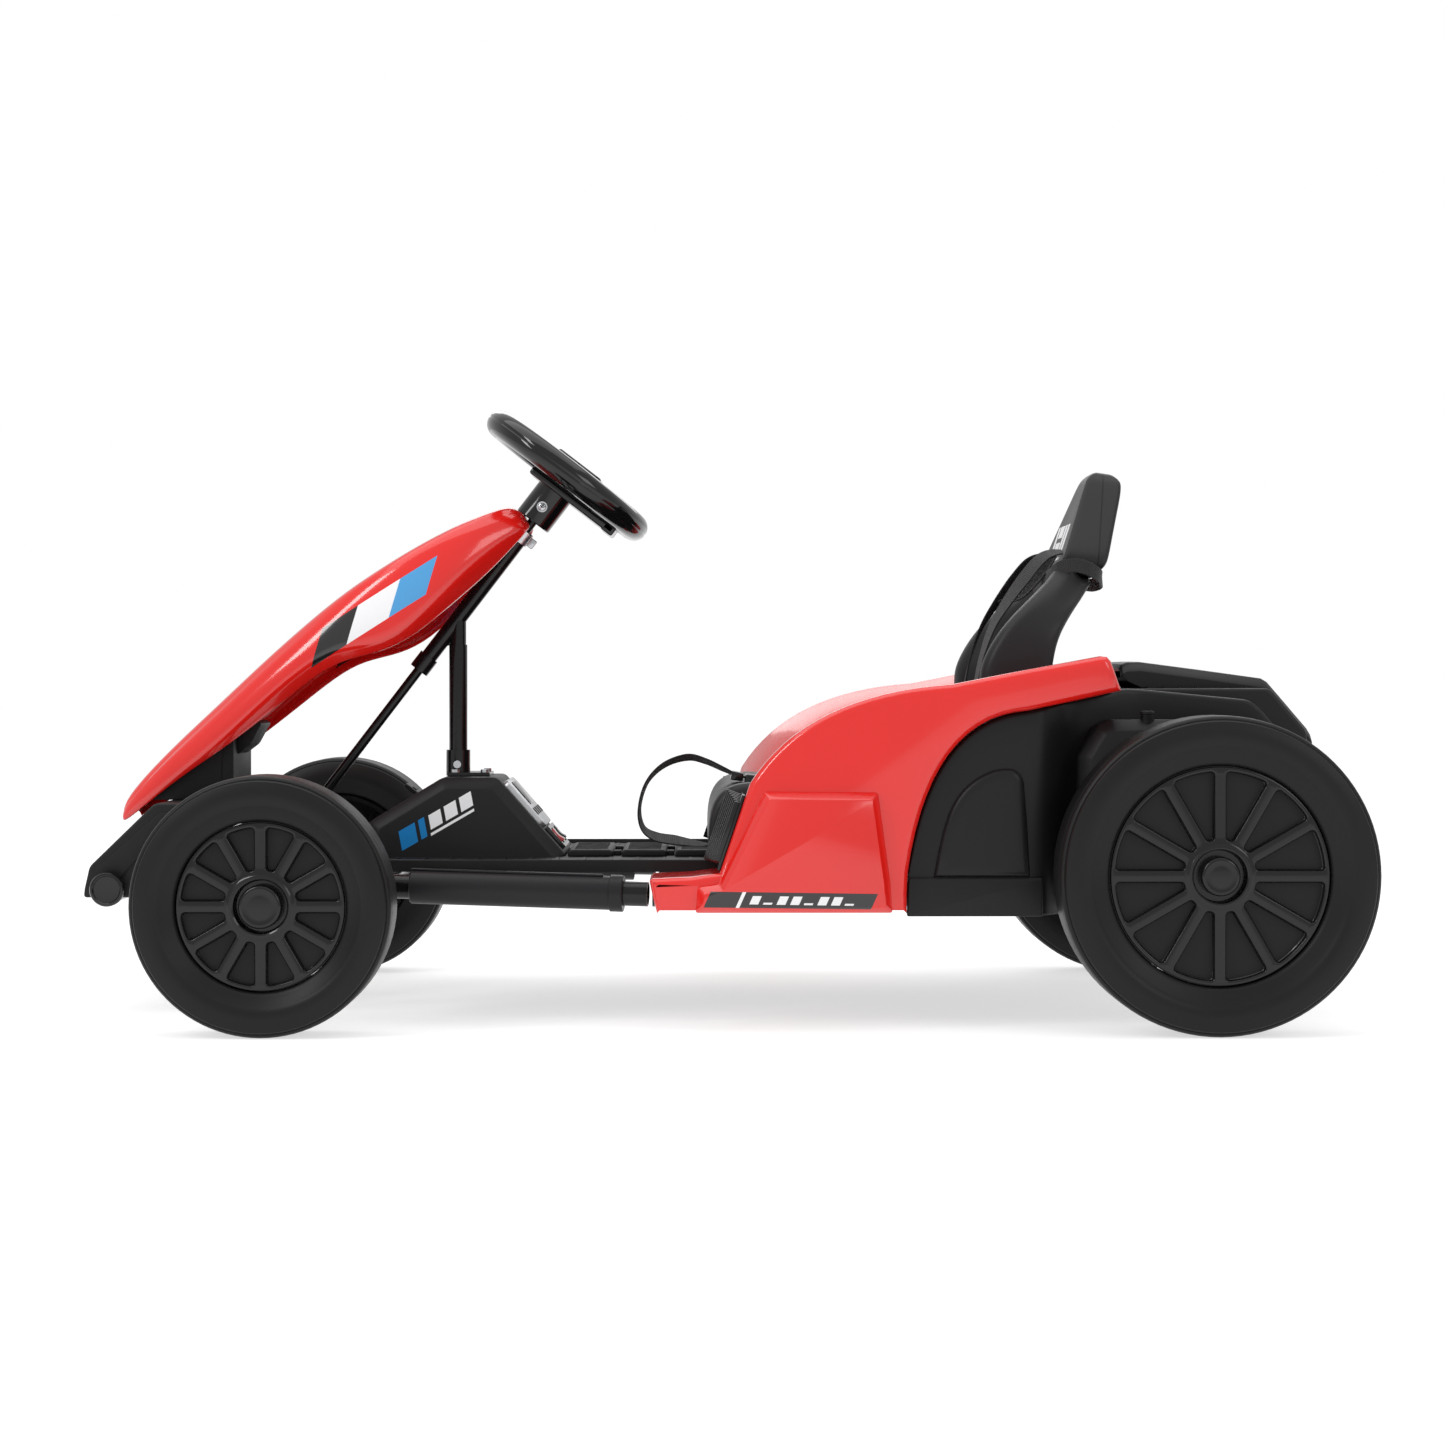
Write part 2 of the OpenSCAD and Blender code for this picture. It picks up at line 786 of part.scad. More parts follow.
side_rails();
cross_tubes();
front_subframe();
axle_beam();
kingpins();
bumper_bar();
bar_end_caps();
bumper_cover();
nose_pylon();
nose_cover();
column_post();
post_socket();
column_tube();
column_bushes();
lower_bearing();
console();
control_panel();
floor_pan();
side_sleeves();
pod_l();
pod_r();
grilles();
seat_base();
seat_back();
seat_band();
shoulder_belts();
belt_loop();
buckle();
fenders();
rear_body();
rear_cover();
batteries();
controller();
gearboxes();
motors();
rear_axle();
pedal_base();
fasteners();
steering_shaft();
steering_hub();
steering_wheel();
horn_button();
knuckle_l();
knuckle_r();
track_rod();
pedal();
power_rocker();
direction_rocker();
front_tyre_l();
front_rim_l();
front_cap_l();
front_tyre_r();
front_rim_r();
front_cap_r();
rear_tyre_l();
rear_rim_l();
rear_cap_l();
rear_tyre_r();
rear_rim_r();
rear_cap_r();
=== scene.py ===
import math

import bmesh
import bpy
from mathutils import Matrix, Vector


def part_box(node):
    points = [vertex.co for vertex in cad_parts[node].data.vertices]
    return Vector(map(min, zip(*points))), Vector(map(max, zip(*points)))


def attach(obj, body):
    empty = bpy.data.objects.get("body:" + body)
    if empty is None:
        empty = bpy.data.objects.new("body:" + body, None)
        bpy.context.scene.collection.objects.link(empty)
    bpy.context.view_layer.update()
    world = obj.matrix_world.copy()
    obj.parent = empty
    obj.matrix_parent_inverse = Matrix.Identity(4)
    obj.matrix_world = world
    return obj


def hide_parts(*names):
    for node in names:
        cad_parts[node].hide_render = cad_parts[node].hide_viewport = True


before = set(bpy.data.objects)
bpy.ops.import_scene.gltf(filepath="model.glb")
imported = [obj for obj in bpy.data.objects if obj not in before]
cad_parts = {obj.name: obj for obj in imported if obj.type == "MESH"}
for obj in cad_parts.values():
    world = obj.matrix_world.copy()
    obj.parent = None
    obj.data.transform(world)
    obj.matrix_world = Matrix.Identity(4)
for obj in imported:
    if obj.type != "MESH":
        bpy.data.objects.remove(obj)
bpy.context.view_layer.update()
MM = 0.001


# Camera: a long lens at hub height that looks square across the kart from the driver's left.
# It stands a little ahead of the kart's middle, so that it sees some of the tyres' treads.
eye = bpy.data.objects.new("camera", bpy.data.cameras.new("camera"))
bpy.context.collection.objects.link(eye)
eye.location = (-12.7 * MM, -3.103, 0.336)
eye.rotation_euler = (math.radians(90 - 0.84), 0, math.radians(-0.455))
eye.data.lens = 73.7
eye.data.sensor_width = 36
eye.data.clip_end = 60
bpy.context.scene.camera = eye


# Studio: a pale seamless floor under an even white sky, with large soft lamps. The big one
# overhead draws the long highlights on the gloss shells, and a strip ahead lights the nose.
def linear(hex_colour):
    """An sRGB hex colour as linear red, green, blue and alpha."""
    parts = [int(hex_colour[i:i + 2], 16) / 255 for i in (1, 3, 5)]
    return [c / 12.92 if c <= 0.04045 else ((c + 0.055) / 1.055) ** 2.4 for c in parts] + [1.0]


def add_node(tree, kind, settings=None, links=None):
    """One shader node with its settings and incoming links."""
    made = tree.nodes.new(kind)
    for key, value in (settings or {}).items():
        if isinstance(key, str) and hasattr(made, key):
            setattr(made, key, value)
        else:
            made.inputs[key].default_value = value
    for key, socket in (links or {}).items():
        tree.links.new(socket, made.inputs[key])
    return made


def new_material(name, settings):
    """A node material with its shader's settings: its tree, shader and object coordinates."""
    made = bpy.data.materials.new(name)
    made.use_nodes = True
    tree = made.node_tree
    shader = tree.nodes["Principled BSDF"]
    for key, value in settings.items():
        shader.inputs[key].default_value = value
    place = add_node(tree, "ShaderNodeTexCoord").outputs["Object"]
    return made, tree, shader, place


bpy.context.scene.view_settings.view_transform = "Standard"
world = bpy.data.worlds.new("studio")
bpy.context.scene.world = world
world.use_nodes = True
sky = world.node_tree.nodes["Background"]
sky.inputs["Color"].default_value = (1, 1, 1, 1)
ray = add_node(world.node_tree, "ShaderNodeLightPath")
level = add_node(world.node_tree, "ShaderNodeMapRange", {"To Min": 0.66, "To Max": 1.0},
                 {"Value": ray.outputs["Is Camera Ray"]})
world.node_tree.links.new(level.outputs["Result"], sky.inputs["Strength"])
bm = bmesh.new()
bmesh.ops.create_grid(bm, x_segments=1, y_segments=1, size=30)
mesh = bpy.data.meshes.new("floor")
bm.to_mesh(mesh)
floor = bpy.data.objects.new("floor", mesh)
bpy.context.collection.objects.link(floor)
paper, tree, shader, place = new_material("seamless_paper", {
    "Base Color": linear("#c8c8c8"), "Emission Color": (1, 1, 1, 1),
    "Emission Strength": 0.62})
fibre = add_node(tree, "ShaderNodeTexNoise", {"Scale": 900.0}, {"Vector": place})
rough = add_node(tree, "ShaderNodeMapRange", {"To Min": 0.75, "To Max": 0.9},
                 {"Value": fibre.outputs["Fac"]})
tree.links.new(rough.outputs["Result"], shader.inputs["Roughness"])
mesh.materials.append(paper)
lamps = (("overhead", (0, 0, 2.6), (0, 0, 0), (3.4, 2.2), 28),
         ("nose_strip", (-2.0, -1.5, 2.2), (-0.35, -0.1, 0.3), (0.5, 1.5), 24),
         ("rear_left", (2.2, -2.2, 1.6), (0.2, 0, 0.3), (1.2, 1.0), 10),
         ("far_side", (0.3, 2.8, 1.8), (0, 0, 0.25), (2.4, 1.0), 12))
for name, spot, aim, size, power in lamps:
    light = bpy.data.lights.new(name, "AREA")
    light.shape = "RECTANGLE"
    light.size, light.size_y = size
    light.energy = power
    lamp = bpy.data.objects.new(name, light)
    bpy.context.collection.objects.link(lamp)
    lamp.location = spot
    lamp.rotation_euler = (Vector(aim) - Vector(spot)).to_track_quat("-Z", "Y").to_euler()


# Tyres: blow-moulded black polyethylene with a satin skin, a dished face and a plain tread.
# A fine parting groove runs round each shoulder. They are pressed over the spoked discs.
def mm_box(node):
    """A CAD node's lowest and highest corners in millimetres."""
    return [Vector(corner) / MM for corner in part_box(node)]


def bend(a, b, c, steps=8):
    """Points of a quadratic curve from a to c that leans towards b."""
    a, b, c = Vector(a), Vector(b), Vector(c)
    return [(1 - t) ** 2 * a + 2 * t * (1 - t) * b + t * t * c
            for t in (i / steps for i in range(steps + 1))]


def moulded(name, colour, rough, grain, depth, coat=0.0, mottle=0.12, spread=0.06):
    """Moulded plastic: grain is the texture's pitch and depth its height, both in mm.

    The black mouldings are waxy, so they reflect less than the bright gloss ones.
    """
    base = linear(colour)
    made, tree, shader, place = new_material(name, {
        "IOR": 1.5, "Specular IOR Level": 0.22 if max(base[:3]) < 0.03 else 0.5,
        "Coat Weight": coat, "Coat Roughness": 0.06})
    cloud = add_node(tree, "ShaderNodeTexNoise", {"Scale": 14.0, "Detail": 4.0},
                     {"Vector": place})
    tone = add_node(tree, "ShaderNodeMix",
                    {"data_type": "RGBA", 6: [c * (1 - mottle) for c in base[:3]] + [1],
                     7: [min(1, c * (1 + mottle)) for c in base[:3]] + [1]},
                    {0: cloud.outputs["Fac"]})
    tree.links.new(tone.outputs[2], shader.inputs["Base Color"])
    skin = add_node(tree, "ShaderNodeTexNoise", {"Scale": 1 / (grain * MM), "Detail": 2.0},
                    {"Vector": place})
    both = add_node(tree, "ShaderNodeMath", {"operation": "ADD"},
                    {0: cloud.outputs["Fac"], 1: skin.outputs["Fac"]})
    gloss = add_node(tree, "ShaderNodeMapRange",
                     {"From Min": 0.6, "From Max": 1.4, "To Min": rough - spread,
                      "To Max": rough + spread}, {"Value": both.outputs[0]})
    tree.links.new(gloss.outputs["Result"], shader.inputs["Roughness"])
    bump = add_node(tree, "ShaderNodeBump", {"Strength": 0.6, "Distance": depth * MM},
                    {"Height": skin.outputs["Fac"]})
    tree.links.new(bump.outputs["Normal"], shader.inputs["Normal"])
    return made


def make_piece(name, bm, body, materials, smooth=32):
    """Turns a bmesh in millimetres into a piece that rides on a body."""
    bmesh.ops.remove_doubles(bm, verts=bm.verts, dist=0.002)
    bmesh.ops.scale(bm, vec=(MM, MM, MM), verts=bm.verts)
    mesh = bpy.data.meshes.new(name)
    bm.to_mesh(mesh)
    bm.free()
    for polygon in mesh.polygons:
        polygon.use_smooth = True
    mesh.set_sharp_from_angle(angle=math.radians(smooth))
    for material in materials:
        mesh.materials.append(material)
    made = bpy.data.objects.new(name, mesh)
    bpy.context.collection.objects.link(made)
    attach(made, body)
    return made


def lathe(bm, profile, steps=96, mark=0):
    """Turns (radius, y) points round the Y axis and returns the new faces."""
    old = set(bm.faces)
    verts = [bm.verts.new((r, y, 0)) for r, y in profile]
    edges = [bm.edges.new(pair) for pair in zip(verts, verts[1:])]
    bmesh.ops.spin(bm, geom=verts + edges, cent=(0, 0, 0), axis=(0, 1, 0), angle=math.tau,
                   steps=steps, use_merge=True)
    made = [face for face in bm.faces if face not in old]
    for face in made:
        face.material_index = mark
    return made


def mirror(bm, verts=None, faces=None):
    """Turns a shape, or the given parts of it, over to the other side of the kart."""
    bmesh.ops.scale(bm, vec=(1, -1, 1), verts=verts or bm.verts)
    bmesh.ops.reverse_faces(bm, faces=faces or bm.faces)


def set_in_place(bm, centre, hand):
    """Moves a part made round the origin to its place on the left or the right side."""
    bmesh.ops.translate(bm, vec=centre, verts=bm.verts)
    if hand == "l":
        mirror(bm)


tyre_plastic = moulded("satin_blow_moulded_polyethylene", "#171717", 0.42, 1.4, 0.05, mottle=0.18)


def tyre_bmesh(radius, disc, width):
    """A tyre round the origin with its outer face at y = 0 and its inner one at -width."""
    lip = disc + 0.12 * radius
    crown = radius - 16
    face = [(disc - 1, -16), (disc + 0.5, -12.5), (disc + 2, -11)]
    face += bend((disc + 4, -10), (lip - 2, -4), (lip, -2), 4)
    face += bend((lip + 3, -0.9), (crown, 1.2), (radius - 5.6, -3.4), 8)
    face += [(radius - 4.4, -5.2), (radius - 4.2, -6.3), (radius - 3.4, -6.1)]
    face += bend((radius - 3, -6.3), (radius, -8), (radius, -14), 5)
    groove = [(radius, -18), (radius - 0.7, -18.6), (radius - 0.7, -19.6), (radius, -20.2)]
    back = [(r, -width - y) for r, y in reversed(face + groove[:1])]
    bm = bmesh.new()
    lathe(bm, face + groove + back[1:])
    bmesh.ops.remove_doubles(bm, verts=bm.verts, dist=0.01)
    rims = [edge for edge in bm.edges if edge.is_boundary]
    bmesh.ops.bridge_loops(bm, edges=rims)
    bmesh.ops.recalc_face_normals(bm, faces=bm.faces)
    return bm


def wheel_facts(end, hand):
    """A wheel's centre at its outer face, its radius, its disc's radius and its width."""
    low, high = mm_box("%s_tyre_%s" % (end, hand))
    disc_low, disc_high = mm_box("%s_rim_%s" % (end, hand))
    centre = Vector(((low.x + high.x) / 2, max(abs(low.y), abs(high.y)), (low.z + high.z) / 2))
    return centre, (high.x - low.x) / 2, (disc_high.x - disc_low.x) / 2, high.y - low.y


WHEELS = [(end, hand) for end in ("front", "rear") for hand in ("l", "r")]
for end, hand in WHEELS:
    centre, radius, disc, width = wheel_facts(end, hand)
    bm = tyre_bmesh(radius, disc, width)
    set_in_place(bm, centre, hand)
    tyre = make_piece("%s_tyre_%s_skin" % (end, hand), bm, "wheel_%s_%s" % (end, hand),
                      [tyre_plastic])
    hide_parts("%s_tyre_%s" % (end, hand))


# Spoked discs: injection-moulded black ABS. Twelve flat spokes with polished, rounded edges
# stand over finely grained pockets, round a raised hub ring. Ribs stiffen the hidden side.
disc_gloss = moulded("polished_black_abs", "#141415", 0.2, 3.0, 0.02, coat=0.3)
disc_grain = moulded("grained_black_abs", "#19191a", 0.5, 0.9, 0.08)
SPOKES = 12
SPOKE_W = 8.0
HUB_R = 33.0


def block(bm, middle, size, mark=0):
    """A sharp-edged block; returns its corners."""
    made = bmesh.ops.create_cube(bm, size=1)["verts"]
    bmesh.ops.scale(bm, vec=size, verts=made)
    bmesh.ops.translate(bm, vec=middle, verts=made)
    for face in {face for vert in made for face in vert.link_faces}:
        face.material_index = mark
    return made


def ring_points(bm, radius, y, steps):
    """A closed ring of edges round the Y axis."""
    turn = [math.tau * i / steps for i in range(steps)]
    verts = [bm.verts.new((radius * math.cos(a), y, radius * math.sin(a))) for a in turn]
    return [bm.edges.new((verts[i], verts[(i + 1) % steps])) for i in range(steps)]


def pocket_outline(outer, inset):
    """Corner-rounded outline of the first pocket, shrunk by inset, as X and Z points."""
    half = math.pi / SPOKES
    low, high = HUB_R + inset, outer - inset
    side = SPOKE_W / 2 + inset
    corner = 5.0 - inset
    points = []
    for radius, hand, end in ((low, -1, 1), (high, -1, -1), (high, 1, -1), (low, 1, 1)):
        # The corner's centre lies one corner radius inside both of the lines that meet there.
        ring = radius + end * corner
        inward = side + corner
        swing = half - math.asin(inward / ring)
        mid = Vector((ring * math.cos(hand * swing), ring * math.sin(hand * swing)))
        across = math.degrees(hand * half) + hand * 90
        outward = math.degrees(hand * swing) + (180 if end == 1 else 0)
        start, stop = (outward, across) if (hand == -1) == (end == 1) else (across, outward)
        gap = (stop - start + 180) % 360 - 180
        for i in range(6):
            a = math.radians(start + gap * i / 5)
            points.append(mid + corner * Vector((math.cos(a), math.sin(a))))
        if (radius, hand) == (high, -1):
            for i in range(1, 8):
                a = -swing + 2 * swing * i / 8
                points.append(Vector((high * math.cos(a), high * math.sin(a))))
    for i in range(1, 4):
        ring = low + corner
        swing = half - math.asin((side + corner) / ring)
        a = swing - 2 * swing * i / 4
        points.append(Vector((low * math.cos(a), low * math.sin(a))))
    return points


def disc_bmesh(radius, width):
    """A spoked disc round the origin: its face lies at y = -13, its back at -width."""
    bm = bmesh.new()
    face_y, floor_y, bore = -13.0, -20.0, 6.2
    rim = radius - 3.5
    loops = ring_points(bm, rim, face_y, 96) + ring_points(bm, HUB_R, face_y, 48)
    levels = ((0, 0), (0.5, -0.15), (1.0, -0.6), (1.4, -1.3), (1.8, floor_y - face_y + 0.8),
              (2.6, floor_y - face_y))
    for k in range(SPOKES):
        turn = Matrix.Rotation(math.tau * (k + 0.5) / SPOKES, 2)
        rings = []
        for inset, drop in levels:
            pts = [turn @ p for p in pocket_outline(rim - 1.5, inset)]
            verts = [bm.verts.new((p.x, face_y + drop, p.y)) for p in pts]
            rings.append([bm.edges.new((verts[i], verts[(i + 1) % len(verts)]))
                          for i in range(len(verts))])
        for upper, lower in zip(rings, rings[1:]):
            bmesh.ops.bridge_loops(bm, edges=upper + lower)
        floor = bmesh.ops.contextual_create(bm, geom=rings[-1])["faces"]
        for piece in floor:
            piece.material_index = 1
        loops += rings[0]
    bmesh.ops.triangle_fill(bm, use_beauty=True, use_dissolve=False, edges=loops,
                            normal=(0, 1, 0))
    lathe(bm, [(rim, face_y), (rim + 0.9, face_y - 0.4), (rim + 1.4, face_y - 1.4),
               (rim + 1.5, face_y - 6), (radius - 1.5, face_y - 6), (radius - 1.4, -width + 10),
               (radius - 6, -width + 10), (radius - 7, floor_y - 4), (30, floor_y - 5),
               (24, floor_y - 5), (24, -width + 6), (12, -width + 4), (bore, -width + 4)])
    lathe(bm, [(HUB_R, face_y), (31.5, face_y + 0.3), (29.5, face_y + 1.8), (27, face_y + 1.9),
               (25.6, face_y + 1.0), (25, face_y - 1), (24.4, face_y - 12), (bore, face_y - 12),
               (bore, -width + 4)], 48)
    for k in range(SPOKES):
        rib = block(bm, ((radius + 22) / 2, floor_y - 10, 0), (radius - 32, 14, 3))
        bmesh.ops.rotate(bm, cent=(0, 0, 0), verts=rib,
                         matrix=Matrix.Rotation(math.tau * k / SPOKES, 3, "Y"))
    bmesh.ops.remove_doubles(bm, verts=bm.verts, dist=0.01)
    bmesh.ops.recalc_face_normals(bm, faces=bm.faces)
    return bm


for end, hand in WHEELS:
    centre, radius, disc, width = wheel_facts(end, hand)
    bm = disc_bmesh(disc, width)
    set_in_place(bm, centre, hand)
    spoked = make_piece("%s_disc_%s" % (end, hand), bm, "wheel_%s_%s" % (end, hand),
                        [disc_gloss, disc_grain])
    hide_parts("%s_rim_%s" % (end, hand))


# Hub caps: push-in black ABS caps that hide the axle nuts, with a rounded edge and a flat top.
# The front ones are slightly larger than the rear ones.
CAP_R = {"front": 20.5, "rear": 18.5}
for end, hand in WHEELS:
    centre = wheel_facts(end, hand)[0]
    cap_r = CAP_R[end]
    bm = bmesh.new()
    lathe(bm, [(cap_r - 1, -24), (cap_r, -23.5), (cap_r, -11.5)]
          + bend((cap_r - 0.2, -10.5), (cap_r - 1, -8.2), (cap_r - 3.6, -8), 5)
          + [(cap_r - 4.6, -8.3), (cap_r * 0.5, -7.9), (0, -7.7)], 48)
    bmesh.ops.recalc_face_normals(bm, faces=bm.faces)
    set_in_place(bm, centre, hand)
    cap = make_piece("%s_hub_cap_%s" % (end, hand), bm, "wheel_%s_%s" % (end, hand),
                     [disc_gloss])
    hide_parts("%s_cap_%s" % (end, hand))


# Nose shell: one vacuum-smooth moulding in gloss red ABS, open below, tapering to the hub.
# Its sides roll under along the lower edge, and a three-band vinyl flag sits on each side.
def loft(bm, sections):
    """Presses a flat grid over rows of points, one row for each section."""
    rows, columns = len(sections) - 1, len(sections[0]) - 1
    made = bmesh.ops.create_grid(bm, x_segments=columns, y_segments=rows, size=0.5)["verts"]
    for vert in made:
        column, row = round((vert.co.x + 0.5) * columns), round((vert.co.y + 0.5) * rows)
        vert.co = sections[row][column]


def finish_with(made, levels, thickness=0.0):
    """Adds the modifiers that give a shell its wall and its smoothness."""
    if thickness:
        wall = made.modifiers.new("wall", "SOLIDIFY")
        wall.thickness = thickness * MM
        wall.offset = -1
    smooth = made.modifiers.new("smooth", "SUBSURF")
    smooth.levels = levels
    smooth.render_levels = levels


def print_on(made, colour, *bands):
    """Prints a colour over a material where all the bands cross.

    Each band is a direction with the lowest and highest millimetre along it.
    """
    tree = made.node_tree
    base = tree.nodes["Principled BSDF"].inputs["Base Color"]
    mask = None
    for direction, low, high in bands:
        along = add_node(tree, "ShaderNodeVectorMath", {"operation": "DOT_PRODUCT", 1: direction},
                         {0: tree.nodes["Texture Coordinate"].outputs["Object"]})
        band = add_node(tree, "ShaderNodeMath",
                        {"operation": "COMPARE", 1: (low + high) / 2 * MM,
                         2: (high - low) / 2 * MM}, {0: along.outputs["Value"]}).outputs[0]
        mask = band if mask is None else add_node(
            tree, "ShaderNodeMath", {"operation": "MULTIPLY"}, {0: mask, 1: band}).outputs[0]
    mix = add_node(tree, "ShaderNodeMix", {"data_type": "RGBA", 7: linear(colour)},
                   {0: mask, 6: base.links[0].from_socket})
    tree.links.new(mix.outputs[2], base)


nose_red = moulded("gloss_red_abs_nose", "#dd1c16", 0.16, 9.0, 0.012, coat=0.5, mottle=0.03,
                   spread=0.03)
for low, high, colour in ((-501.5, -471.8, "#1d1a1b"), (-471.8, -437.0, "#eeeef0"),
                          (-437.0, -406.7, "#4a9bd4")):
    print_on(nose_red, colour, ((-0.645, 0, 1), 608.8, 641.6), ((1, 0, -0.277), low, high))


def nose_section(ridge, belly, half, under):
    """Points across the nose from its left lower edge over the ridge to the right one."""
    rx, rz = ridge
    bx, bz = belly
    tall = rz - bz - under
    run = [(half - 1.1 * under, 0), (half - 0.3 * under, 0.8 * under), (half, 1.1 * under + 2),
           (half * 0.985, under + 0.35 * tall), (half * 0.93, under + 0.68 * tall),
           (half * 0.865, rz - bz - 9), (half * 0.81, rz - bz - 3.6),
           (half * 0.72, rz - bz - 1.4), (half * 0.4, rz - bz - 0.4)]
    share = [min(1, max(0, z / max(rz - bz, 1))) for y, z in run]
    left = [(bx + (rx - bx) * t, -y, bz + z) for (y, z), t in zip(run, share)]
    right = [(x, -y, z) for x, y, z in reversed(left)]
    return left + [(rx, 0, rz)] + right


stations = (((-606, 197), (-604, 190), 54, 0), ((-605, 210), (-595, 197), 60, 0.2),
            ((-582, 236), (-573, 214), 73, 0.5), ((-545, 272), (-537, 241), 84, 2),
            ((-505, 308), (-493, 269), 93, 6), ((-458, 352), (-447, 305), 100, 11),
            ((-410, 394), (-404, 340), 105, 13), ((-370, 426), (-374, 357), 107, 11),
            ((-332, 451), (-336, 364), 106, 7), ((-300, 471), (-303, 380), 101, 12),
            ((-262, 492), (-263, 416), 88, 18), ((-230, 506), (-230, 446), 71, 18),
            ((-209, 514), (-203, 476), 56, 9), ((-199, 508), (-191, 490), 47, 3),
            ((-196, 503), (-190, 495), 26, 1))
bm = bmesh.new()
loft(bm, [nose_section(*station) for station in stations])
bmesh.ops.recalc_face_normals(bm, faces=bm.faces)
nose = make_piece("nose_shell", bm, "chassis", [nose_red], 60)
finish_with(nose, levels=2, thickness=3.2)
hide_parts("nose_cover")


# Bumper shell and nose stand: matte black polypropylene with a fine leather-like grain.
# The bumper shell wraps the steel bar, whose capped ends stick out on both sides.
black_pp = moulded("grained_black_polypropylene", "#1d1d1e", 0.5, 1.1, 0.10)


def corners_rounded(points, radius, steps=4):
    """An outline whose sharp corners are replaced by short curves."""
    points = [Vector(p) for p in points]
    out = []
    for before, here, after in zip(points[-1:] + points[:-1], points, points[1:] + points[:1]):
        a, b = before - here, after - here
        if math.degrees(a.angle(b)) > 165:
            out.append(here)
            continue
        cut = min(radius, 0.4 * a.length, 0.4 * b.length)
        out += bend(here + a.normalized() * cut, here, here + b.normalized() * cut, steps)
    return out


def slab(bm, outline, y0, y1, soft):
    """A side-view outline drawn out from y0 to y1, with its two rims rounded."""
    verts = [bm.verts.new((p[0], y0, p[1])) for p in outline]
    base = bm.faces.new(verts)
    base.normal_update()
    made = bmesh.ops.extrude_face_region(bm, geom=[base], use_keep_orig=True)["geom"]
    top = [item for item in made if isinstance(item, bmesh.types.BMVert)]
    bmesh.ops.translate(bm, vec=(0, y1 - y0, 0), verts=top)
    faces = {face for vert in verts + top for face in vert.link_faces}
    bmesh.ops.recalc_face_normals(bm, faces=list(faces))
    rims = {edge for face in faces if abs(face.normal.y) > 0.9 for edge in face.edges}
    bmesh.ops.bevel(bm, geom=list(rims), offset=soft, segments=3, affect="EDGES", profile=0.5,
                    material=-1, clamp_overlap=True)


def paired(bm):
    """Adds the same shape again on the other side of the kart."""
    copy = bmesh.ops.duplicate(bm, geom=bm.verts[:] + bm.edges[:] + bm.faces[:])["geom"]
    mirror(bm, [item for item in copy if isinstance(item, bmesh.types.BMVert)],
           [item for item in copy if isinstance(item, bmesh.types.BMFace)])


bm = bmesh.new()
side_line = corners_rounded([(-627, 118), (-626, 127), (-621, 149), (-556, 212), (-497, 212),
                             (-497, 196), (-560, 150), (-575, 118)], 4)
slab(bm, side_line, -150, 150, 4)
end_plate = corners_rounded([(-617, 140), (-610, 150), (-550, 203), (-530, 203), (-596, 132)], 3)
for y in (149, -152):
    slab(bm, end_plate, y, y + 3, 1.2)
bumper = make_piece("bumper_shell", bm, "chassis", [black_pp])
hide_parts("bumper_cover")

bm = bmesh.new()
stand_line = [(-574, 212), (-503, 212), (-503, 287), (-508, 287)]
for y in (-60, 56):
    slab(bm, stand_line, y, y + 4, 0.8)
slab(bm, corners_rounded([(-503, 212), (-491, 212), (-491, 292), (-503, 287)], 1.5), -60, 60, 1.5)
slab(bm, corners_rounded([(-491, 258), (-478, 268), (-466, 290), (-472, 294), (-491, 276)], 2),
     -34, 34, 1.5)
stand = make_piece("nose_stand", bm, "chassis", [black_pp])
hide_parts("nose_pylon")


# Steel frame: welded mild-steel tubes in gloss black powder coat, kept as the frame has them.
# The powder leaves a slight orange peel and duller patches scattered at random.
def metal(name, metallic, pattern, pitch, tones, rough):
    """A metal with a pattern in its tone and its roughness, which repeats each pitch in mm."""
    made, tree, shader, place = new_material(name, {"Metallic": metallic})
    cells = add_node(tree, pattern, {"Scale": 1 / (pitch * MM)}, {"Vector": place}).outputs[0]
    tone = add_node(tree, "ShaderNodeMix",
                    {"data_type": "RGBA", 6: linear(tones[0]), 7: linear(tones[1])}, {0: cells})
    tree.links.new(tone.outputs[2], shader.inputs["Base Color"])
    dull = add_node(tree, "ShaderNodeMapRange", {"To Min": rough[0], "To Max": rough[1]},
                    {"Value": cells})
    tree.links.new(dull.outputs["Result"], shader.inputs["Roughness"])
    return made


def coat(material, *nodes):
    """Gives CAD nodes a material."""
    for node in nodes:
        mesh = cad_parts[node].data
        mesh.materials.clear()
        mesh.materials.append(material)


powder = moulded("black_powder_coat", "#101011", 0.24, 4.5, 0.12, coat=0.25, mottle=0.2)
# Zinc plate is a pale blue-grey metal with cloudy crystals about 5 mm across.
plated = metal("bright_zinc_plate", 1.0, "ShaderNodeTexVoronoi", 5.0, ("#b9bcc0", "#d6d8da"),
               (0.22, 0.4))
coat(powder, "side_rails", "cross_tubes", "front_subframe", "axle_beam", "bumper_bar",
     "column_post", "post_socket", "column_tube", "lower_bearing", "steering_shaft",
     "knuckle_l", "knuckle_r", "track_rod")
coat(plated, "kingpins", "fasteners", "rear_axle", "motors", "controller")


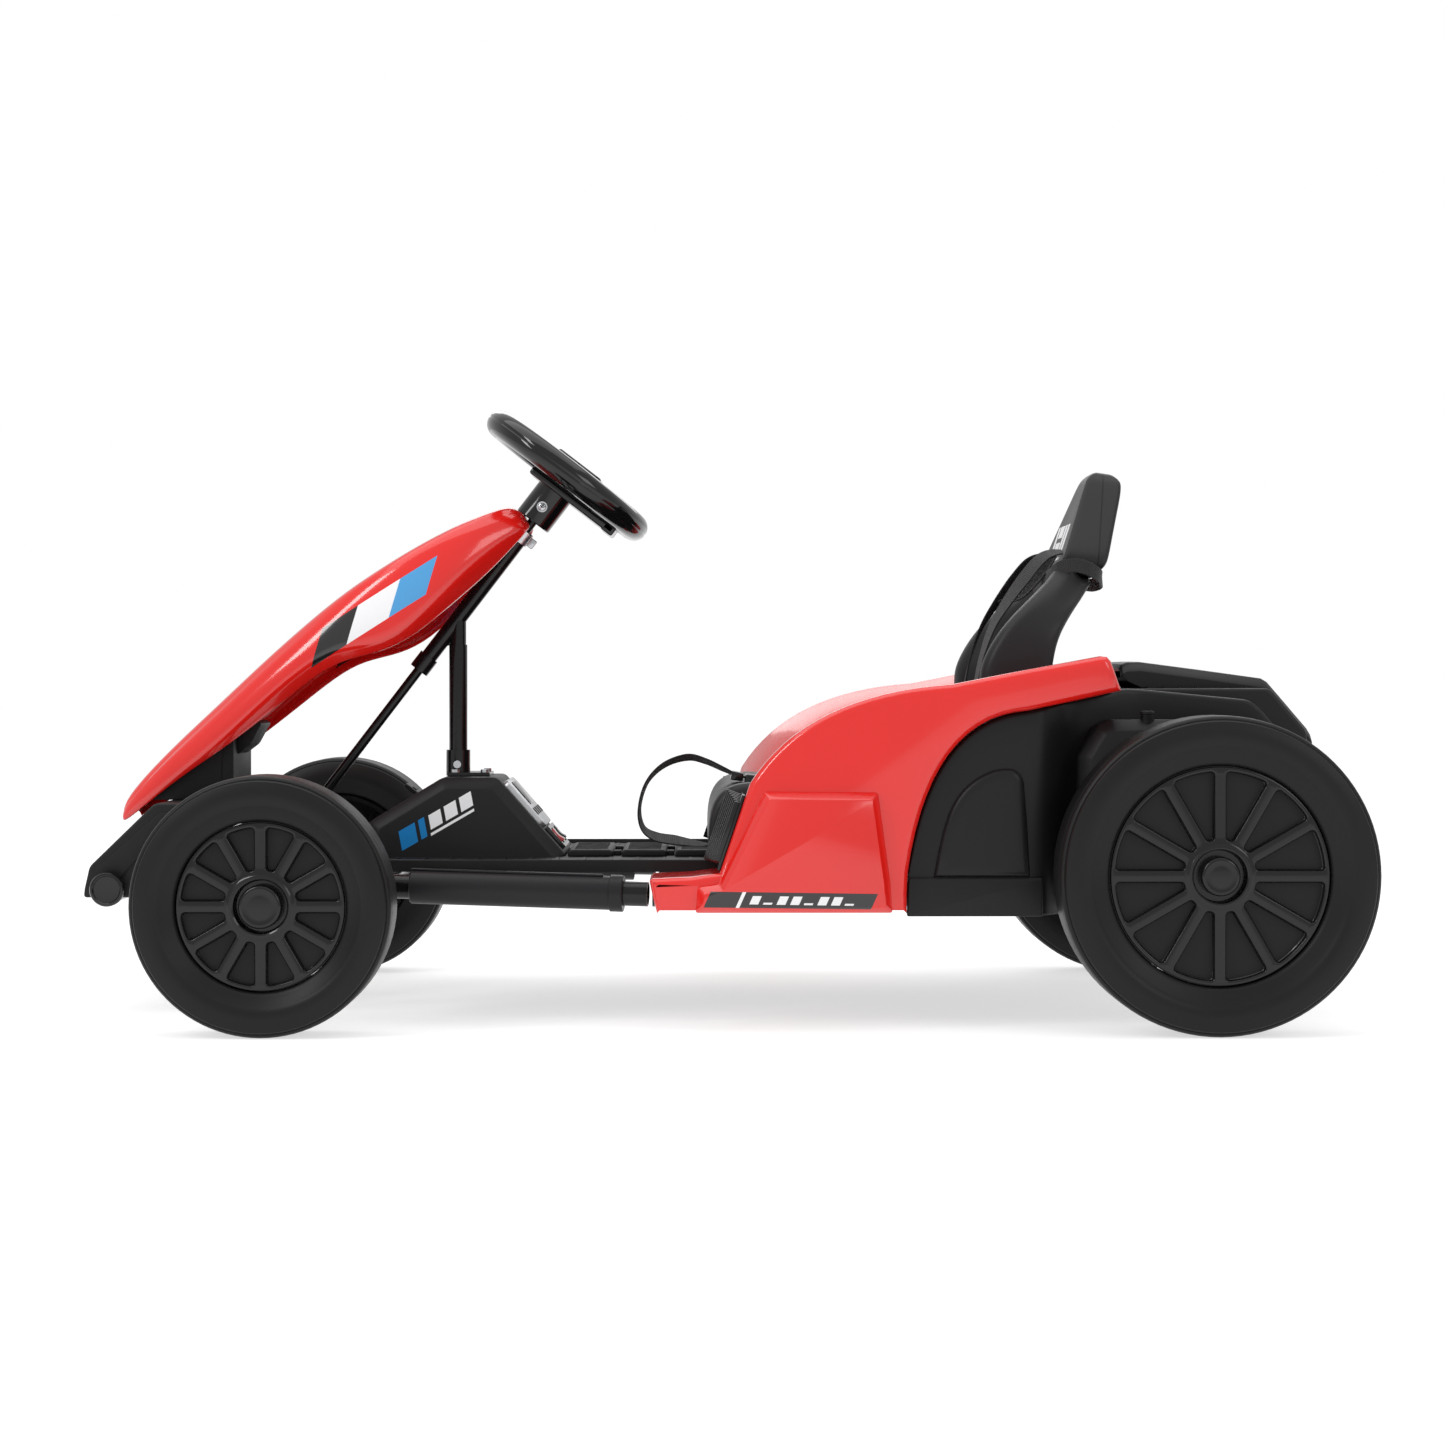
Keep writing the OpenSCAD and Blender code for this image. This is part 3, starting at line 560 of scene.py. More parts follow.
# Console: a hollow black hump between the driver's legs, chamfered all round its side faces.
# Both faces carry a blue and white vinyl motif that climbs towards the steering post.
def inset(points, distance):
    """An outline moved inwards all round by a distance."""
    points = [Vector(p) for p in points]
    area = sum(a.x * b.y - b.x * a.y for a, b in zip(points, points[1:] + points[:1]))
    turn = 1 if area > 0 else -1
    out = []
    for before, here, after in zip(points[-1:] + points[:-1], points, points[1:] + points[:1]):
        a, b = (here - before).normalized(), (after - here).normalized()
        normal = Vector((-a.y - b.y, a.x + b.x)).normalized() * turn
        reach = max(0.5, abs(normal.dot(Vector((-a.y, a.x)))))
        out.append(here + normal * distance / reach)
    return out


def skin(bm, loops, mark=0, closed=True):
    """Joins matching closed loops of points, with a face over each end if closed."""
    rows = [[bm.verts.new(p) for p in loop] for loop in loops]
    made = []
    for low, high in zip(rows, rows[1:]):
        made += [bm.faces.new((a, b, d, c)) for a, b, c, d in
                 zip(low, low[1:] + low[:1], high, high[1:] + high[:1])]
    if closed:
        made += [bm.faces.new(rows[0]), bm.faces.new(rows[-1])]
    bmesh.ops.recalc_face_normals(bm, faces=made)
    for face in made:
        face.material_index = mark
    return made


def rings(bm, layers, mark=0, closed=True):
    """A skin over matching side-view outlines, each an (outline, y) pair."""
    return skin(bm, [[(p[0], y, p[1]) for p in outline] for outline, y in layers], mark, closed)


def stacked(bm, layers, mark=0):
    """A skin over matching plan-view outlines, each an (outline, z) pair."""
    skin(bm, [[(p[0], p[1], z) for p in outline] for outline, z in layers], mark)


def rolled(outline, y0, y1, radius, both=True, steps=4):
    """Layers for rings(), whose rim at y1, and at y0 if both, is rolled to a radius."""
    arc = [math.pi / 2 * i / steps for i in range(steps + 1)]
    rim = [(inset(outline, radius * (1 - math.cos(a))), radius * (1 - math.sin(a)))
           for a in arc]
    start = [(shape, y0 + depth) for shape, depth in reversed(rim)] if both else [(outline, y0)]
    return start + [(shape, y1 - depth) for shape, depth in rim]


def stepped(corners, radius, levels):
    """Layers for rings() from (inset, y) pairs; corners are rounded after each inset."""
    return [(corners_rounded(inset(corners, d), radius, 3), y) for d, y in levels]


console_black = moulded("grained_black_polypropylene_console", "#1d1d1e", 0.46, 1.1, 0.10)
for low, high, foot, head, colour in ((-298, -279, 297, 316, "#1779ba"),
                                      (-275, -268, 297, 316, "#1779ba"),
                                      (-263, -249, 301, 315, "#ececee"),
                                      (-245, -231, 301, 315, "#ececee"),
                                      (-227, -213, 301, 315, "#ececee"),
                                      (-264, -213, 295.4, 298, "#ececee")):
    print_on(console_black, colour, ((1.041, 0, 0.197), low, high),
             ((-0.5, 0, 0.866), foot, head))

hump = [(-352, 130), (-352, 189), (-276, 235), (-220, 235), (-150, 156), (-150, 130)]
bm = bmesh.new()
rings(bm, stepped(hump, 4, ((12, -75), (11, -74.7), (0.7, -66.6), (0, -65.4), (0, 65.4),
                            (0.7, 66.6), (11, 74.7), (12, 75))))
bmesh.ops.bisect_plane(bm, geom=bm.verts[:] + bm.edges[:] + bm.faces[:], dist=0.001,
                       plane_co=(0, 0, 153), plane_no=(0, 0, -1), clear_outer=True)
console = make_piece("console_shell", bm, "chassis", [console_black], 50)
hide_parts("console")


# Control panel on the console's rear slope: a satin silver plate, a dark display behind a
# clear window, and a black bezel round the two rockers. Button marks are plain bars.
def on_slope(bm):
    """Lays a shape made flat, with x down the slope and z out of it, on the console."""
    turn = Matrix.Translation((-220, 0, 235)) @ Matrix.Rotation(math.radians(49), 4, "Y")
    bmesh.ops.transform(bm, matrix=turn, verts=bm.verts)


def plate(bm, low, high, corner, edge, mark=0):
    """A plate between two corner points, with rounded corners and a rolled top edge."""
    (x0, y0, z0), (x1, y1, z1) = low, high
    shape = corners_rounded([(x0, y0), (x1, y0), (x1, y1), (x0, y1)], corner, 5)
    stacked(bm, [(shape, z0), (shape, z1 - edge), (inset(shape, edge * 0.3), z1 - edge * 0.3),
                 (inset(shape, edge), z1)], mark)


# Silver paint carries metal flakes, drawn 0.4 mm across, which is coarse enough to show.
silver = metal("satin_silver_paint", 0.7, "ShaderNodeTexNoise", 0.4, ("#b4b6b9", "#d2d4d6"),
               (0.28, 0.42))
display = moulded("smoked_display_window", "#0c0f12", 0.07, 9.0, 0.01, coat=0.8)
gloss_black = moulded("gloss_black_abs", "#141415", 0.16, 5.0, 0.02, coat=0.4)
red_button = moulded("red_polycarbonate", "#c41d1d", 0.14, 6.0, 0.02, coat=0.6)
bm = bmesh.new()
plate(bm, (8, -55, 0.2), (70, 55, 5.2), 9, 1.2)
plate(bm, (13, -31, 5), (43, 31, 6.5), 3, 0.6, mark=1)
for y in (-39, -13, 13, 39):
    plate(bm, (47.5, y - 5.4, 5), (56.5, y + 5.4, 6.4), 2, 0.5, mark=2)
for x0, x1, y0, y1 in ((72, 76, -45, 45), (96, 100, -45, 45), (76, 96, -45, -32),
                       (76, 96, -12, 12), (76, 96, 32, 45)):
    block(bm, ((x0 + x1) / 2, (y0 + y1) / 2, 2.7), (x1 - x0, y1 - y0, 5), mark=2)
for y in (-22, 22):
    block(bm, (86, y, 0.6), (20, 20, 0.6), mark=2)
on_slope(bm)
panel = make_piece("panel_plate", bm, "chassis", [silver, display, gloss_black])
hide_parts("control_panel")


def rocker_bmesh(y):
    """A rocker cap with a hollowed face, tipped to its resting side on its pin."""
    bm = bmesh.new()
    hollow = bend((-6.5, 4.9), (0, 2.4), (6.5, 4.9), 6)
    outline = [(-8.2, -1.6), (-8.2, 4.4)] + hollow + [(8.2, 4.4), (8.2, -1.6)]
    rings(bm, rolled(outline, y - 8.6, y + 8.6, 0.8))
    for x, length in ((-4.6, 0.9), (4.6, 2.6)):
        block(bm, (x, y, 4.0), (length, 4.4, 0.9), mark=1)
    tip = Matrix.Translation((86, 0, 2.6)) @ Matrix.Rotation(math.radians(-7), 4, "Y")
    bmesh.ops.transform(bm, matrix=tip, verts=bm.verts)
    on_slope(bm)
    return bm


print_white = moulded("white_screen_print", "#e8e8ea", 0.4, 0.8, 0.02)
for name, y, body, cap in (("power_rocker", -22, "power_switch", red_button),
                           ("direction_rocker", 22, "direction_switch", gloss_black)):
    made = make_piece(name + "_cap", rocker_bmesh(y), body, [cap, print_white])
    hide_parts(name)


# Footwell floor: ribbed black polypropylene with a raised lip each side and three treads.
# Each tread is a soft-edged block with a lengthwise rib pattern that grips a shoe.
bm = bmesh.new()
edge_line = corners_rounded([(-340, -176), (-300, -190), (-8, -192), (8, -190), (8, 190),
                             (-8, 192), (-300, 190), (-340, 176)], 10, 4)
stacked(bm, [(edge_line, 146.2), (edge_line, 157.4), (inset(edge_line, 0.6), 158.2),
             (inset(edge_line, 3.0), 158.2), (inset(edge_line, 3.8), 157.2),
             (inset(edge_line, 4.6), 153.9)])
for x in (-148, -93, -38):
    tread = corners_rounded([(x + 0.8, 153), (x + 0.8, 158.6), (x + 3.4, 161), (x + 44.6, 161),
                             (x + 47.2, 158.6), (x + 47.2, 153)], 1.6, 3)
    rings(bm, rolled(tread, -70, 70, 2.0))
    lug = corners_rounded([(x + 47, 153), (x + 47, 159), (x + 55, 159), (x + 55, 153)], 1)
    for y in (-40, 40):
        rings(bm, rolled(lug, y - 9, y + 9, 1))
    for y in range(-56, 57, 14):
        block(bm, (x + 24, y, 161), (34, 2.4, 1.0))
for y in (-132, 132):
    for x in range(-318, -20, 27):
        block(bm, (x, y, 154.2), (3, 84, 1.4))
floor_piece = make_piece("floor_moulding", bm, "chassis", [black_pp])
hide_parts("floor_pan")


# Sleeves over the side rails: extruded satin black plastic with a collar at the rear end.
# A flat rib runs along the top of each, and the ends are rounded over.
def add_part(bm, part):
    """Adds a finished shape to another one."""
    mesh = bpy.data.meshes.new("part")
    part.to_mesh(mesh)
    part.free()
    bm.from_mesh(mesh)
    bpy.data.meshes.remove(mesh)


def tube_between(bm, a, b, profile, steps=48):
    """Turns (radius, distance) points round the line from a to b."""
    start, direction = Vector(a), (Vector(b) - Vector(a)).normalized()
    turn = Vector((0, 1, 0)).rotation_difference(direction).to_matrix().to_4x4()
    part = bmesh.new()
    lathe(part, profile, steps)
    bmesh.ops.transform(part, matrix=Matrix.Translation(start) @ turn, verts=part.verts)
    bmesh.ops.recalc_face_normals(part, faces=part.faces)
    add_part(bm, part)


sleeve_plastic = moulded("satin_black_sleeve", "#1f1f21", 0.36, 2.2, 0.05)
rail_start, rail_bend = Vector((-338, 203, 134)), Vector((-60, 232, 127))
rail_way = (rail_bend - rail_start).normalized()
first, last = rail_start + 44 * rail_way, rail_bend - 26 * rail_way
length = (last - first).length
bm = bmesh.new()
tube_between(bm, first, last,
             [(12.2, 0), (15.4, 0), (16.5, 1.1), (16.5, length - 15), (16.5, length - 13.4),
              (17.6, length - 13), (18, length - 12.4), (18, length - 0.8), (17.3, length),
              (12.2, length), (12.2, 0)])
lip = corners_rounded([(0, 0), (length - 20, 0), (length - 20, 2.2), (0, 2.2)], 1, 3)
made = rings(bm, rolled(lip, -4.5, 4.5, 0.8))
verts = list({vert for face in made for vert in face.verts})
lean = Vector((1, 0, 0)).rotation_difference(rail_way).to_matrix().to_4x4()
bmesh.ops.transform(bm, matrix=Matrix.Translation(first + Vector((0, 0, 16.0))) @ lean,
                    verts=verts)
paired(bm)
sleeves = make_piece("rail_sleeves", bm, "chassis", [sleeve_plastic])
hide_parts("side_sleeves")


# Side pods: gloss red ABS shells with a rolled crest, a bevelled box low on the outside and a
# plain skirt with a black vinyl stripe. The inner wall slopes down to the seat.
pod_red = moulded("gloss_red_abs_pod", "#dd1c16", 0.16, 9.0, 0.012, coat=0.5, mottle=0.03,
                  spread=0.03)
# The black stripe and its pale bars lie on both pods' outer faces, 290 to 300 mm out.
stripe = [("#171213", -62, 98, 119.0, 134.2), ("#ededee", -31.5, -28, 119.0, 134.2)]
stripe += [("#ededee", -20 + 13 * i, -11.5 + 13 * i, 122.6, 124.4 if i % 3 == 1 else 130.6)
           for i in range(8)]
for hand in (-1, 1):
    for colour, low, high, foot, head in stripe:
        print_on(pod_red, colour, ((0, hand, 0), 290, 300), ((0.014, 0, 1), foot, head),
                 ((1, 0, -0.45), low, high))

join = bend((302, 306), (208, 300), (187, 151), 14)
crest = bend((36, 236), (90, 322), (229, 331), 16)
pod_foot = [(-53, 112), (-57, 128), (-60, 143), (-57, 145.5), (-20, 147), (7, 150.5)]
pod_top = ([(7 + 29 * t, 150.5 + 85.5 * t) for t in (0.33, 0.66)] + crest
           + [(290, 343), (371, 358), (377, 357.5), (381, 353)])
pod_tail = [(391, 325), (350, 316)] + join + [(186, 130), (186, 112)]
pod_line = [Vector(p) for p in pod_foot + pod_top + pod_tail]
sunk_line = [Vector(p) for p in pod_foot
             + [(x, z - 42 * min(1, (z - 150) / 90)) for x, z in pod_top] + pod_tail]
POD_SIDE = 285


def pod_shell(bm):
    """The pod's outer skin: a side face, a rolled crest and the skin that turns in over it."""
    layers = rolled(pod_line, POD_SIDE - 18, POD_SIDE, 8, both=False, steps=5)
    made = rings(bm, [(sunk_line, 195)] + layers, closed=False)
    made.append(bm.faces.new([v for v in bm.verts if abs(v.co.y - POD_SIDE) < 1e-3]))
    bmesh.ops.recalc_face_normals(bm, faces=made)
    # The pod is open below, so the faces along its foot come off.
    under = [face for face in made if face.normal.z < -0.6 and face.calc_center_median().z < 118]
    bmesh.ops.delete(bm, geom=under, context="FACES_ONLY")


lower = [(-16, 113), (-14, 138), (6, 141), (50, 229), (158, 228), (170, 142), (172, 113)]
for hand in ("r", "l"):
    bm = bmesh.new()
    pod_shell(bm)
    rings(bm, stepped(lower, 2.5, ((0, 283), (0, 285), (0.8, 286.4), (5.6, 295.6), (7, 297))))
    if hand == "l":
        mirror(bm)
    pod = make_piece("pod_shell_" + hand, bm, "chassis", [pod_red], 40)
    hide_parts("pod_" + hand)

bm = bmesh.new()
slope = Matrix.Translation((7, 0, 150.5)) @ Matrix.Rotation(math.radians(18.6), 4, "Y")
block(bm, (-1.9, 238, 40), (3, 76, 76))
for i in range(7):
    block(bm, (-10.15 + 0.75 * i, 205.5 + 11 * i, 40), (14.5 - 1.5 * i, 5, 72 - 2 * i))
bmesh.ops.bevel(bm, geom=bm.edges[:], offset=0.7, segments=2, affect="EDGES", profile=0.5,
                material=-1)
bmesh.ops.transform(bm, matrix=slope, verts=bm.verts)
paired(bm)
grille = make_piece("grille_ribs", bm, "chassis", [gloss_black])
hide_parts("grilles")


# Seat: a blow-moulded dark grey plastic bucket with a rolled front lip and raised side wings.
# The back has two deep bolsters that narrow into a neck under the headrest.
seat_plastic = moulded("dark_grey_blow_moulded_seat", "#232325", 0.4, 1.2, 0.09, mottle=0.08)


def base_section(x, top, wing):
    """Points over the seat base at x, from the left foot to the right foot."""
    half = [(184, 163), (184, min(top, 170) + 0.5 * (top + wing - 170)), (183, top + wing - 5),
            (176, top + wing), (162, top + wing - 1), (146, top + 0.4 * wing), (124, top - 1),
            (80, top - 4), (40, top - 4)]
    left = [(x, -y, z) for y, z in half]
    return left + [(x, 0, top - 1)] + [(x, y, z) for y, z in reversed(half)]


bm = bmesh.new()
loft(bm, [base_section(*station) for station in
          ((0, 165, 0), (-0.5, 184, 0), (1, 204, 0), (7, 218, 1), (18, 226, 2), (34, 228, 4),
           (60, 222, 8), (100, 215, 12), (160, 209, 14), (220, 203, 15), (270, 199, 15),
           (305, 199, 13), (322, 210, 8), (328, 216, 4))])
bmesh.ops.recalc_face_normals(bm, faces=bm.faces)
base = make_piece("seat_bucket", bm, "chassis", [seat_plastic], 60)
finish_with(base, levels=2, thickness=3.5)
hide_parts("seat_base")


def back_loop(front_z, rear_z, front, recess, rear, w):
    """One level of the seat back: bolsters ahead of a recess, and a flatter rear face."""
    mid_z = (front_z + rear_z) / 2
    half = [(0, recess + 3, front_z), (w * 0.35, recess + 2, front_z),
            (w - 62, recess - 2, front_z), (w - 48, recess - 14, front_z),
            (w - 36, front + 9, front_z), (w - 22, front + 0.5, front_z),
            (w - 9, front, front_z), (w - 1, front + 7, front_z),
            (w, front + 18, mid_z + (front_z - mid_z) * 0.6), (w, rear - 16, rear_z),
            (w - 3, rear - 5, rear_z), (w - 12, rear - 2, rear_z), (w * 0.5, rear, rear_z)]
    right = [(x, y, z) for y, x, z in half]
    left = [(x, -y, z) for y, x, z in reversed(half[1:])]
    return right + [(rear, 0, rear_z)] + left


back_levels = ((214, 214, 282, 316, 333, 160), (240, 240, 279, 318, 334, 160.5),
               (290, 290, 272, 318, 338, 161), (330, 328, 266, 318, 341, 161),
               (350, 346, 268, 320, 343, 161), (370, 364, 278, 324, 346, 160),
               (388, 380, 290, 331, 351, 158), (404, 394, 305, 339, 359, 152),
               (419, 407, 321, 347, 368, 142), (434, 419, 337, 353, 378, 126),
               (446, 430, 348, 358, 386, 110), (458, 440, 353, 360, 393, 98))
bm = bmesh.new()
skin(bm, [back_loop(*level) for level in back_levels])
back = make_piece("seat_back_moulding", bm, "chassis", [seat_plastic], 60)
finish_with(back, levels=2)
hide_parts("seat_back")


def head_loop(front_z, rear_z, front, rear, w):
    """One level of the headrest, a box with tight corners."""
    depth = rear - front
    half = [(0, 0, 0), (w - 7, 0, 0), (w - 2, 0.01, 0), (w, 1.6 / depth + 0.03, 0.05),
            (w, 0.16, 0.16), (w * 0.99, 0.8, 0.8), (w * 0.99, 0.93, 0.93),
            (w * 0.99 - 3, 0.99, 1), (w * 0.99 - 9, 1, 1)]
    right = [(front + depth * k, y, front_z + (rear_z - front_z) * m) for y, k, m in half]
    left = [(x, -y, z) for x, y, z in reversed(right[1:])]
    return right + [(rear, 0, rear_z)] + left


head_plastic = moulded("dark_grey_headrest", "#232325", 0.4, 1.2, 0.09, mottle=0.08)
for low, high, foot, head in ((-291, -276, 466, 497), (-271, -256, 466, 497),
                              (-251, -216, 484, 497), (-251, -216, 466, 479),
                              (-211, -196, 466, 497), (-291, -196, 459, 462)):
    print_on(head_plastic, "#e6e6e8", ((1, 0, -0.37), 100, 192), ((0, 0, 1), foot, head),
             ((0, 1, -0.5), low, high))
print_on(head_plastic, "#0a0a0b", ((1, 0, -0.16), 319.6, 321.2))

bm = bmesh.new()
skin(bm, [head_loop(*level) for level in
          ((441, 436, 349, 388, 84), (451, 444, 352, 394, 90), (456, 450, 356, 401, 95),
           (461, 456, 358, 404, 96), (470, 466, 361.5, 407, 90), (499, 496, 372.5, 415.5, 66),
           (527, 524, 383, 424, 44), (540, 536, 388, 426.5, 34), (545.5, 541.5, 391, 426, 29),
           (550, 546, 396, 422.5, 22), (552.5, 550.5, 402, 417, 14))])
head = make_piece("headrest_moulding", bm, "chassis", [head_plastic], 60)
finish_with(head, levels=2)


# Webbing: black woven polypropylene. One band goes round the seat's neck, a thin strap comes
# out of each headrest slot, and a crotch strap stands up in a stiff loop from its buckle.
def webbing():
    """Woven strap: threads about 2.2 mm apart along its UV and 1.6 mm apart across it."""
    made, tree, shader, _ = new_material("woven_black_webbing",
                                         {"Roughness": 0.72, "Sheen Weight": 0.1})
    uv = add_node(tree, "ShaderNodeUVMap", {})
    rows = add_node(tree, "ShaderNodeTexWave",
                    {"Scale": 2 / (2.2 * MM) / math.tau, "Distortion": 0.6},
                    {"Vector": uv.outputs["UV"]})
    ribs = add_node(tree, "ShaderNodeTexWave", {"Scale": 2 / (1.6 * MM) / math.tau,
                                                "bands_direction": "Y", "Distortion": 0.6},
                    {"Vector": uv.outputs["UV"]})
    cross = add_node(tree, "ShaderNodeMath", {"operation": "MULTIPLY"},
                     {0: rows.outputs["Fac"], 1: ribs.outputs["Fac"]})
    tone = add_node(tree, "ShaderNodeMix",
                    {"data_type": "RGBA", 6: linear("#0f0f10"), 7: linear("#2c2c2e")},
                    {0: cross.outputs[0]})
    tree.links.new(tone.outputs[2], shader.inputs["Base Color"])
    bump = add_node(tree, "ShaderNodeBump", {"Strength": 0.8, "Distance": 0.3 * MM},
                    {"Height": cross.outputs[0]})
    tree.links.new(bump.outputs["Normal"], shader.inputs["Normal"])
    return made


def smooth_path(points):
    """A soft curve through points, with eight steps from each to the next."""
    points = [Vector(p) for p in points]
    ends = [2 * points[0] - points[1]] + points + [2 * points[-1] - points[-2]]
    out = []
    for a, b, c, d in zip(ends, ends[1:], ends[2:], ends[3:]):
        for t in (i / 8 for i in range(8)):
            out.append(0.5 * (2 * b + (c - a) * t + (2 * a - 5 * b + 4 * c - d) * t * t
                              + (3 * b - a - 3 * c + d) * t ** 3))
    return out + [points[-1]]


def read_off(stops, x):
    """The value at x on a line through (x, value) stops, level before the first one."""
    for (x0, value0), (x1, value1) in zip(stops, stops[1:]):
        if x <= x1:
            return value0 + (value1 - value0) * max(0, x - x0) / (x1 - x0)
    return stops[-1][1]


def strap(bm, points, width, thick, twists=(0, 0), across=None, closed=False):
    """A flat strap along points, level across the kart unless across or twists turn it."""
    path = smooth_path(points)
    if closed:
        path = path[:-1]
    last = len(path) - 1
    w, t = width / 2, thick / 2
    flat = 0.96 * w
    profile = ((-w, -t / 2), (-flat, -t), (flat, -t), (w, -t / 2),
               (w, t / 2), (flat, t), (-flat, t), (-w, t / 2))
    layer = bm.loops.layers.uv.verify()
    rows, lengths, run = [], [], 0.0
    for i, here in enumerate(path):
        if closed:
            along = (path[(i + 1) % len(path)] - path[i - 1]).normalized()
        else:
            along = (path[min(i + 1, last)] - path[max(i - 1, 0)]).normalized()
        turn = read_off(list(enumerate(twists)), i / last * (len(twists) - 1))
        side = across(here) if across else Vector((0, 1, 0))
        side = (side - along * side.dot(along)).normalized()
        side = Matrix.Rotation(math.radians(turn), 3, along) @ side
        up = along.cross(side).normalized()
        if i:
            run += (here - path[i - 1]).length
        lengths.append(run)
        rows.append([bm.verts.new(here + side * a + up * b) for a, b in profile])
    lengths.append(run)
    faces = []
    for i in range(len(rows) if closed else last):
        low, high = rows[i], rows[(i + 1) % len(rows)]
        for k in range(8):
            n = (k + 1) % 8
            face = bm.faces.new((low[k], low[n], high[n], high[k]))
            for loop, (step, edge) in zip(face.loops, ((i, k), (i, n), (i + 1, n), (i + 1, k))):
                loop[layer].uv = (lengths[step] * MM, profile[edge][0] * MM)
            faces.append(face)
    if not closed:
        faces += [bm.faces.new(rows[0]), bm.faces.new(rows[-1])]
    bmesh.ops.recalc_face_normals(bm, faces=faces)


woven = webbing()
bm = bmesh.new()
band = [(341.5, 0, 433), (342, 45, 435), (344, 84, 441), (350, 103, 447), (358, 108.5, 450),
        (370, 110, 451), (384, 107.5, 447), (396, 92, 440), (401, 45, 436), (401.5, 0, 435)]
band += [(x, -y, z) for x, y, z in reversed(band[1:-1])]
strap(bm, band + [band[0]], 14, 1.8, closed=True,
      across=lambda here: Vector((0.12 if abs(here.y) > 60 else -0.35, 0, 1)))
neck_band = make_piece("neck_band", bm, "chassis", [woven])
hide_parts("seat_band")

bm = bmesh.new()
for hand in (-1, 1):
    y = hand * 60.5
    strap(bm, [(372, y, 467), (352, y, 466), (338, y, 459), (322, y, 440), (306, y, 418),
               (290, y * 1.02, 392), (279, y * 1.05, 362), (272, y * 1.06, 330),
               (268, y * 1.06, 290), (262, y * 1.04, 250), (262, y, 228)], 25, 1.7,
          [hand * t for t in (4, 16, 24, 26, 20, 12, 6, 3, 2, 0, 0)])
    strap(bm, [(352, y, 463), (342, y, 450), (331, y, 436), (318, y, 422), (307, y, 417)],
          25, 1.7, [hand * t for t in (10, 20, 18, 14, 10)])
shoulder = make_piece("shoulder_straps", bm, "chassis", [woven])
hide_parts("shoulder_belts")

bm = bmesh.new()
strap(bm, [(44, 0, 233), (30, 0, 234), (14, 0, 241), (-6, 0, 250), (-25, 0, 254), (-49, 0, 246),
           (-67, 0, 228), (-75, 0, 202), (-72, 0, 181), (-59, 0, 171), (-38, 0, 167),
           (-14, 0, 163), (-2, 0, 162)], 25, 1.7,
      [0, 4, 10, 13, 16, 12, 6, 4, 8, 18, 20, 10, 0])
crotch = make_piece("crotch_strap", bm, "chassis", [woven])
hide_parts("belt_loop")

bm = bmesh.new()
rings(bm, rolled(corners_rounded([(34, 226), (36, 237), (78, 232), (80, 221)], 2.5, 3),
                 -18, 18, 2.2))
rings(bm, rolled(corners_rounded([(20, 231), (22, 240), (34, 237.5), (33, 229)], 1.5, 3),
                 -15, 15, 1.2))
rings(bm, rolled(corners_rounded([(48, 234), (49, 238.4), (66, 236), (65, 231)], 1.2, 3),
                 -9, 9, 1.2), mark=1)
buckle = make_piece("belt_buckle", bm, "chassis", [gloss_black, red_button])
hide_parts("buckle")


# Fenders: black polypropylene shells behind the pods, with a raised arch panel and a stepped
# base strip on the outside. They turn in ahead of the wheels and run on as wheel shields.
fender_pp = moulded("satin_black_polypropylene", "#1b1b1c", 0.38, 1.3, 0.08)
half_width = ((0, 270), (306, 270), (316, 269), (324, 264), (334, 252), (345, 238), (356, 231),
              (372, 225), (392, 217), (411, 211), (420, 209), (700, 209))
top_line = [(p.x + 1, p.y - 1) for p in reversed(join)] + [(391, 324), (402, 327), (422, 326),
                                                           (526, 316), (536, 309), (556, 286)]
columns = ([187, 188.5, 190, 193, 197, 202, 208, 216, 226, 240, 256, 274, 290, 302, 310, 317]
           + list(range(322, 420, 7)) + [422, 440, 470, 500, 518, 526, 531, 536, 541, 548, 556])
sections = []
for x in columns:
    top, y = read_off(top_line, x), read_off(half_width, x)
    foot = 109 if x < 402 else 140
    rim = [(y, foot), (y, foot + 2), (y, foot + 0.33 * (top - foot)),
           (y, foot + 0.66 * (top - foot)), (y, top - 5), (y - 0.7, top - 2.4),
           (y - 2.2, top - 0.7), (y - 5, top), (y - 14, top), (max(186, y - 40), top - 0.5)]
    sections.append([(x, a, b) for a, b in rim])
for hand in ("r", "l"):
    bm = bmesh.new()
    loft(bm, sections)
    bmesh.ops.recalc_face_normals(bm, faces=bm.faces)
    if sum(face.normal.y for face in bm.faces) < 0:
        bmesh.ops.reverse_faces(bm, faces=bm.faces)
    if hand == "l":
        mirror(bm)
    fender = make_piece("fender_shell_" + hand, bm, "chassis", [fender_pp], 50)
    finish_with(fender, levels=1, thickness=3.5)

bm = bmesh.new()
arch = ([(212, 146), (216, 168), (221, 190)] + bend((226, 206), (238, 238), (270, 249), 7)
        + [(278, 250.3), (284, 250.4)] + bend((288, 250), (297, 247), (299, 236), 4)
        + [(302, 200), (305, 146)])
arch_layers = [(arch, 268), (arch, 269.5), (inset(arch, 1.2), 272.4), (inset(arch, 3.4), 274.6),
               (inset(arch, 6.5), 275.4), (inset(arch, 12), 275.6)]
rings(bm, arch_layers)
strip = corners_rounded([(186.5, 108.5), (188, 145.5), (317, 145.5), (317, 108.5)], 2, 3)
rings(bm, rolled(strip, 268, 273.5, 1.6, both=False))
paired(bm)
arches = make_piece("fender_panels", bm, "chassis", [fender_pp], 40)
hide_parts("fenders")


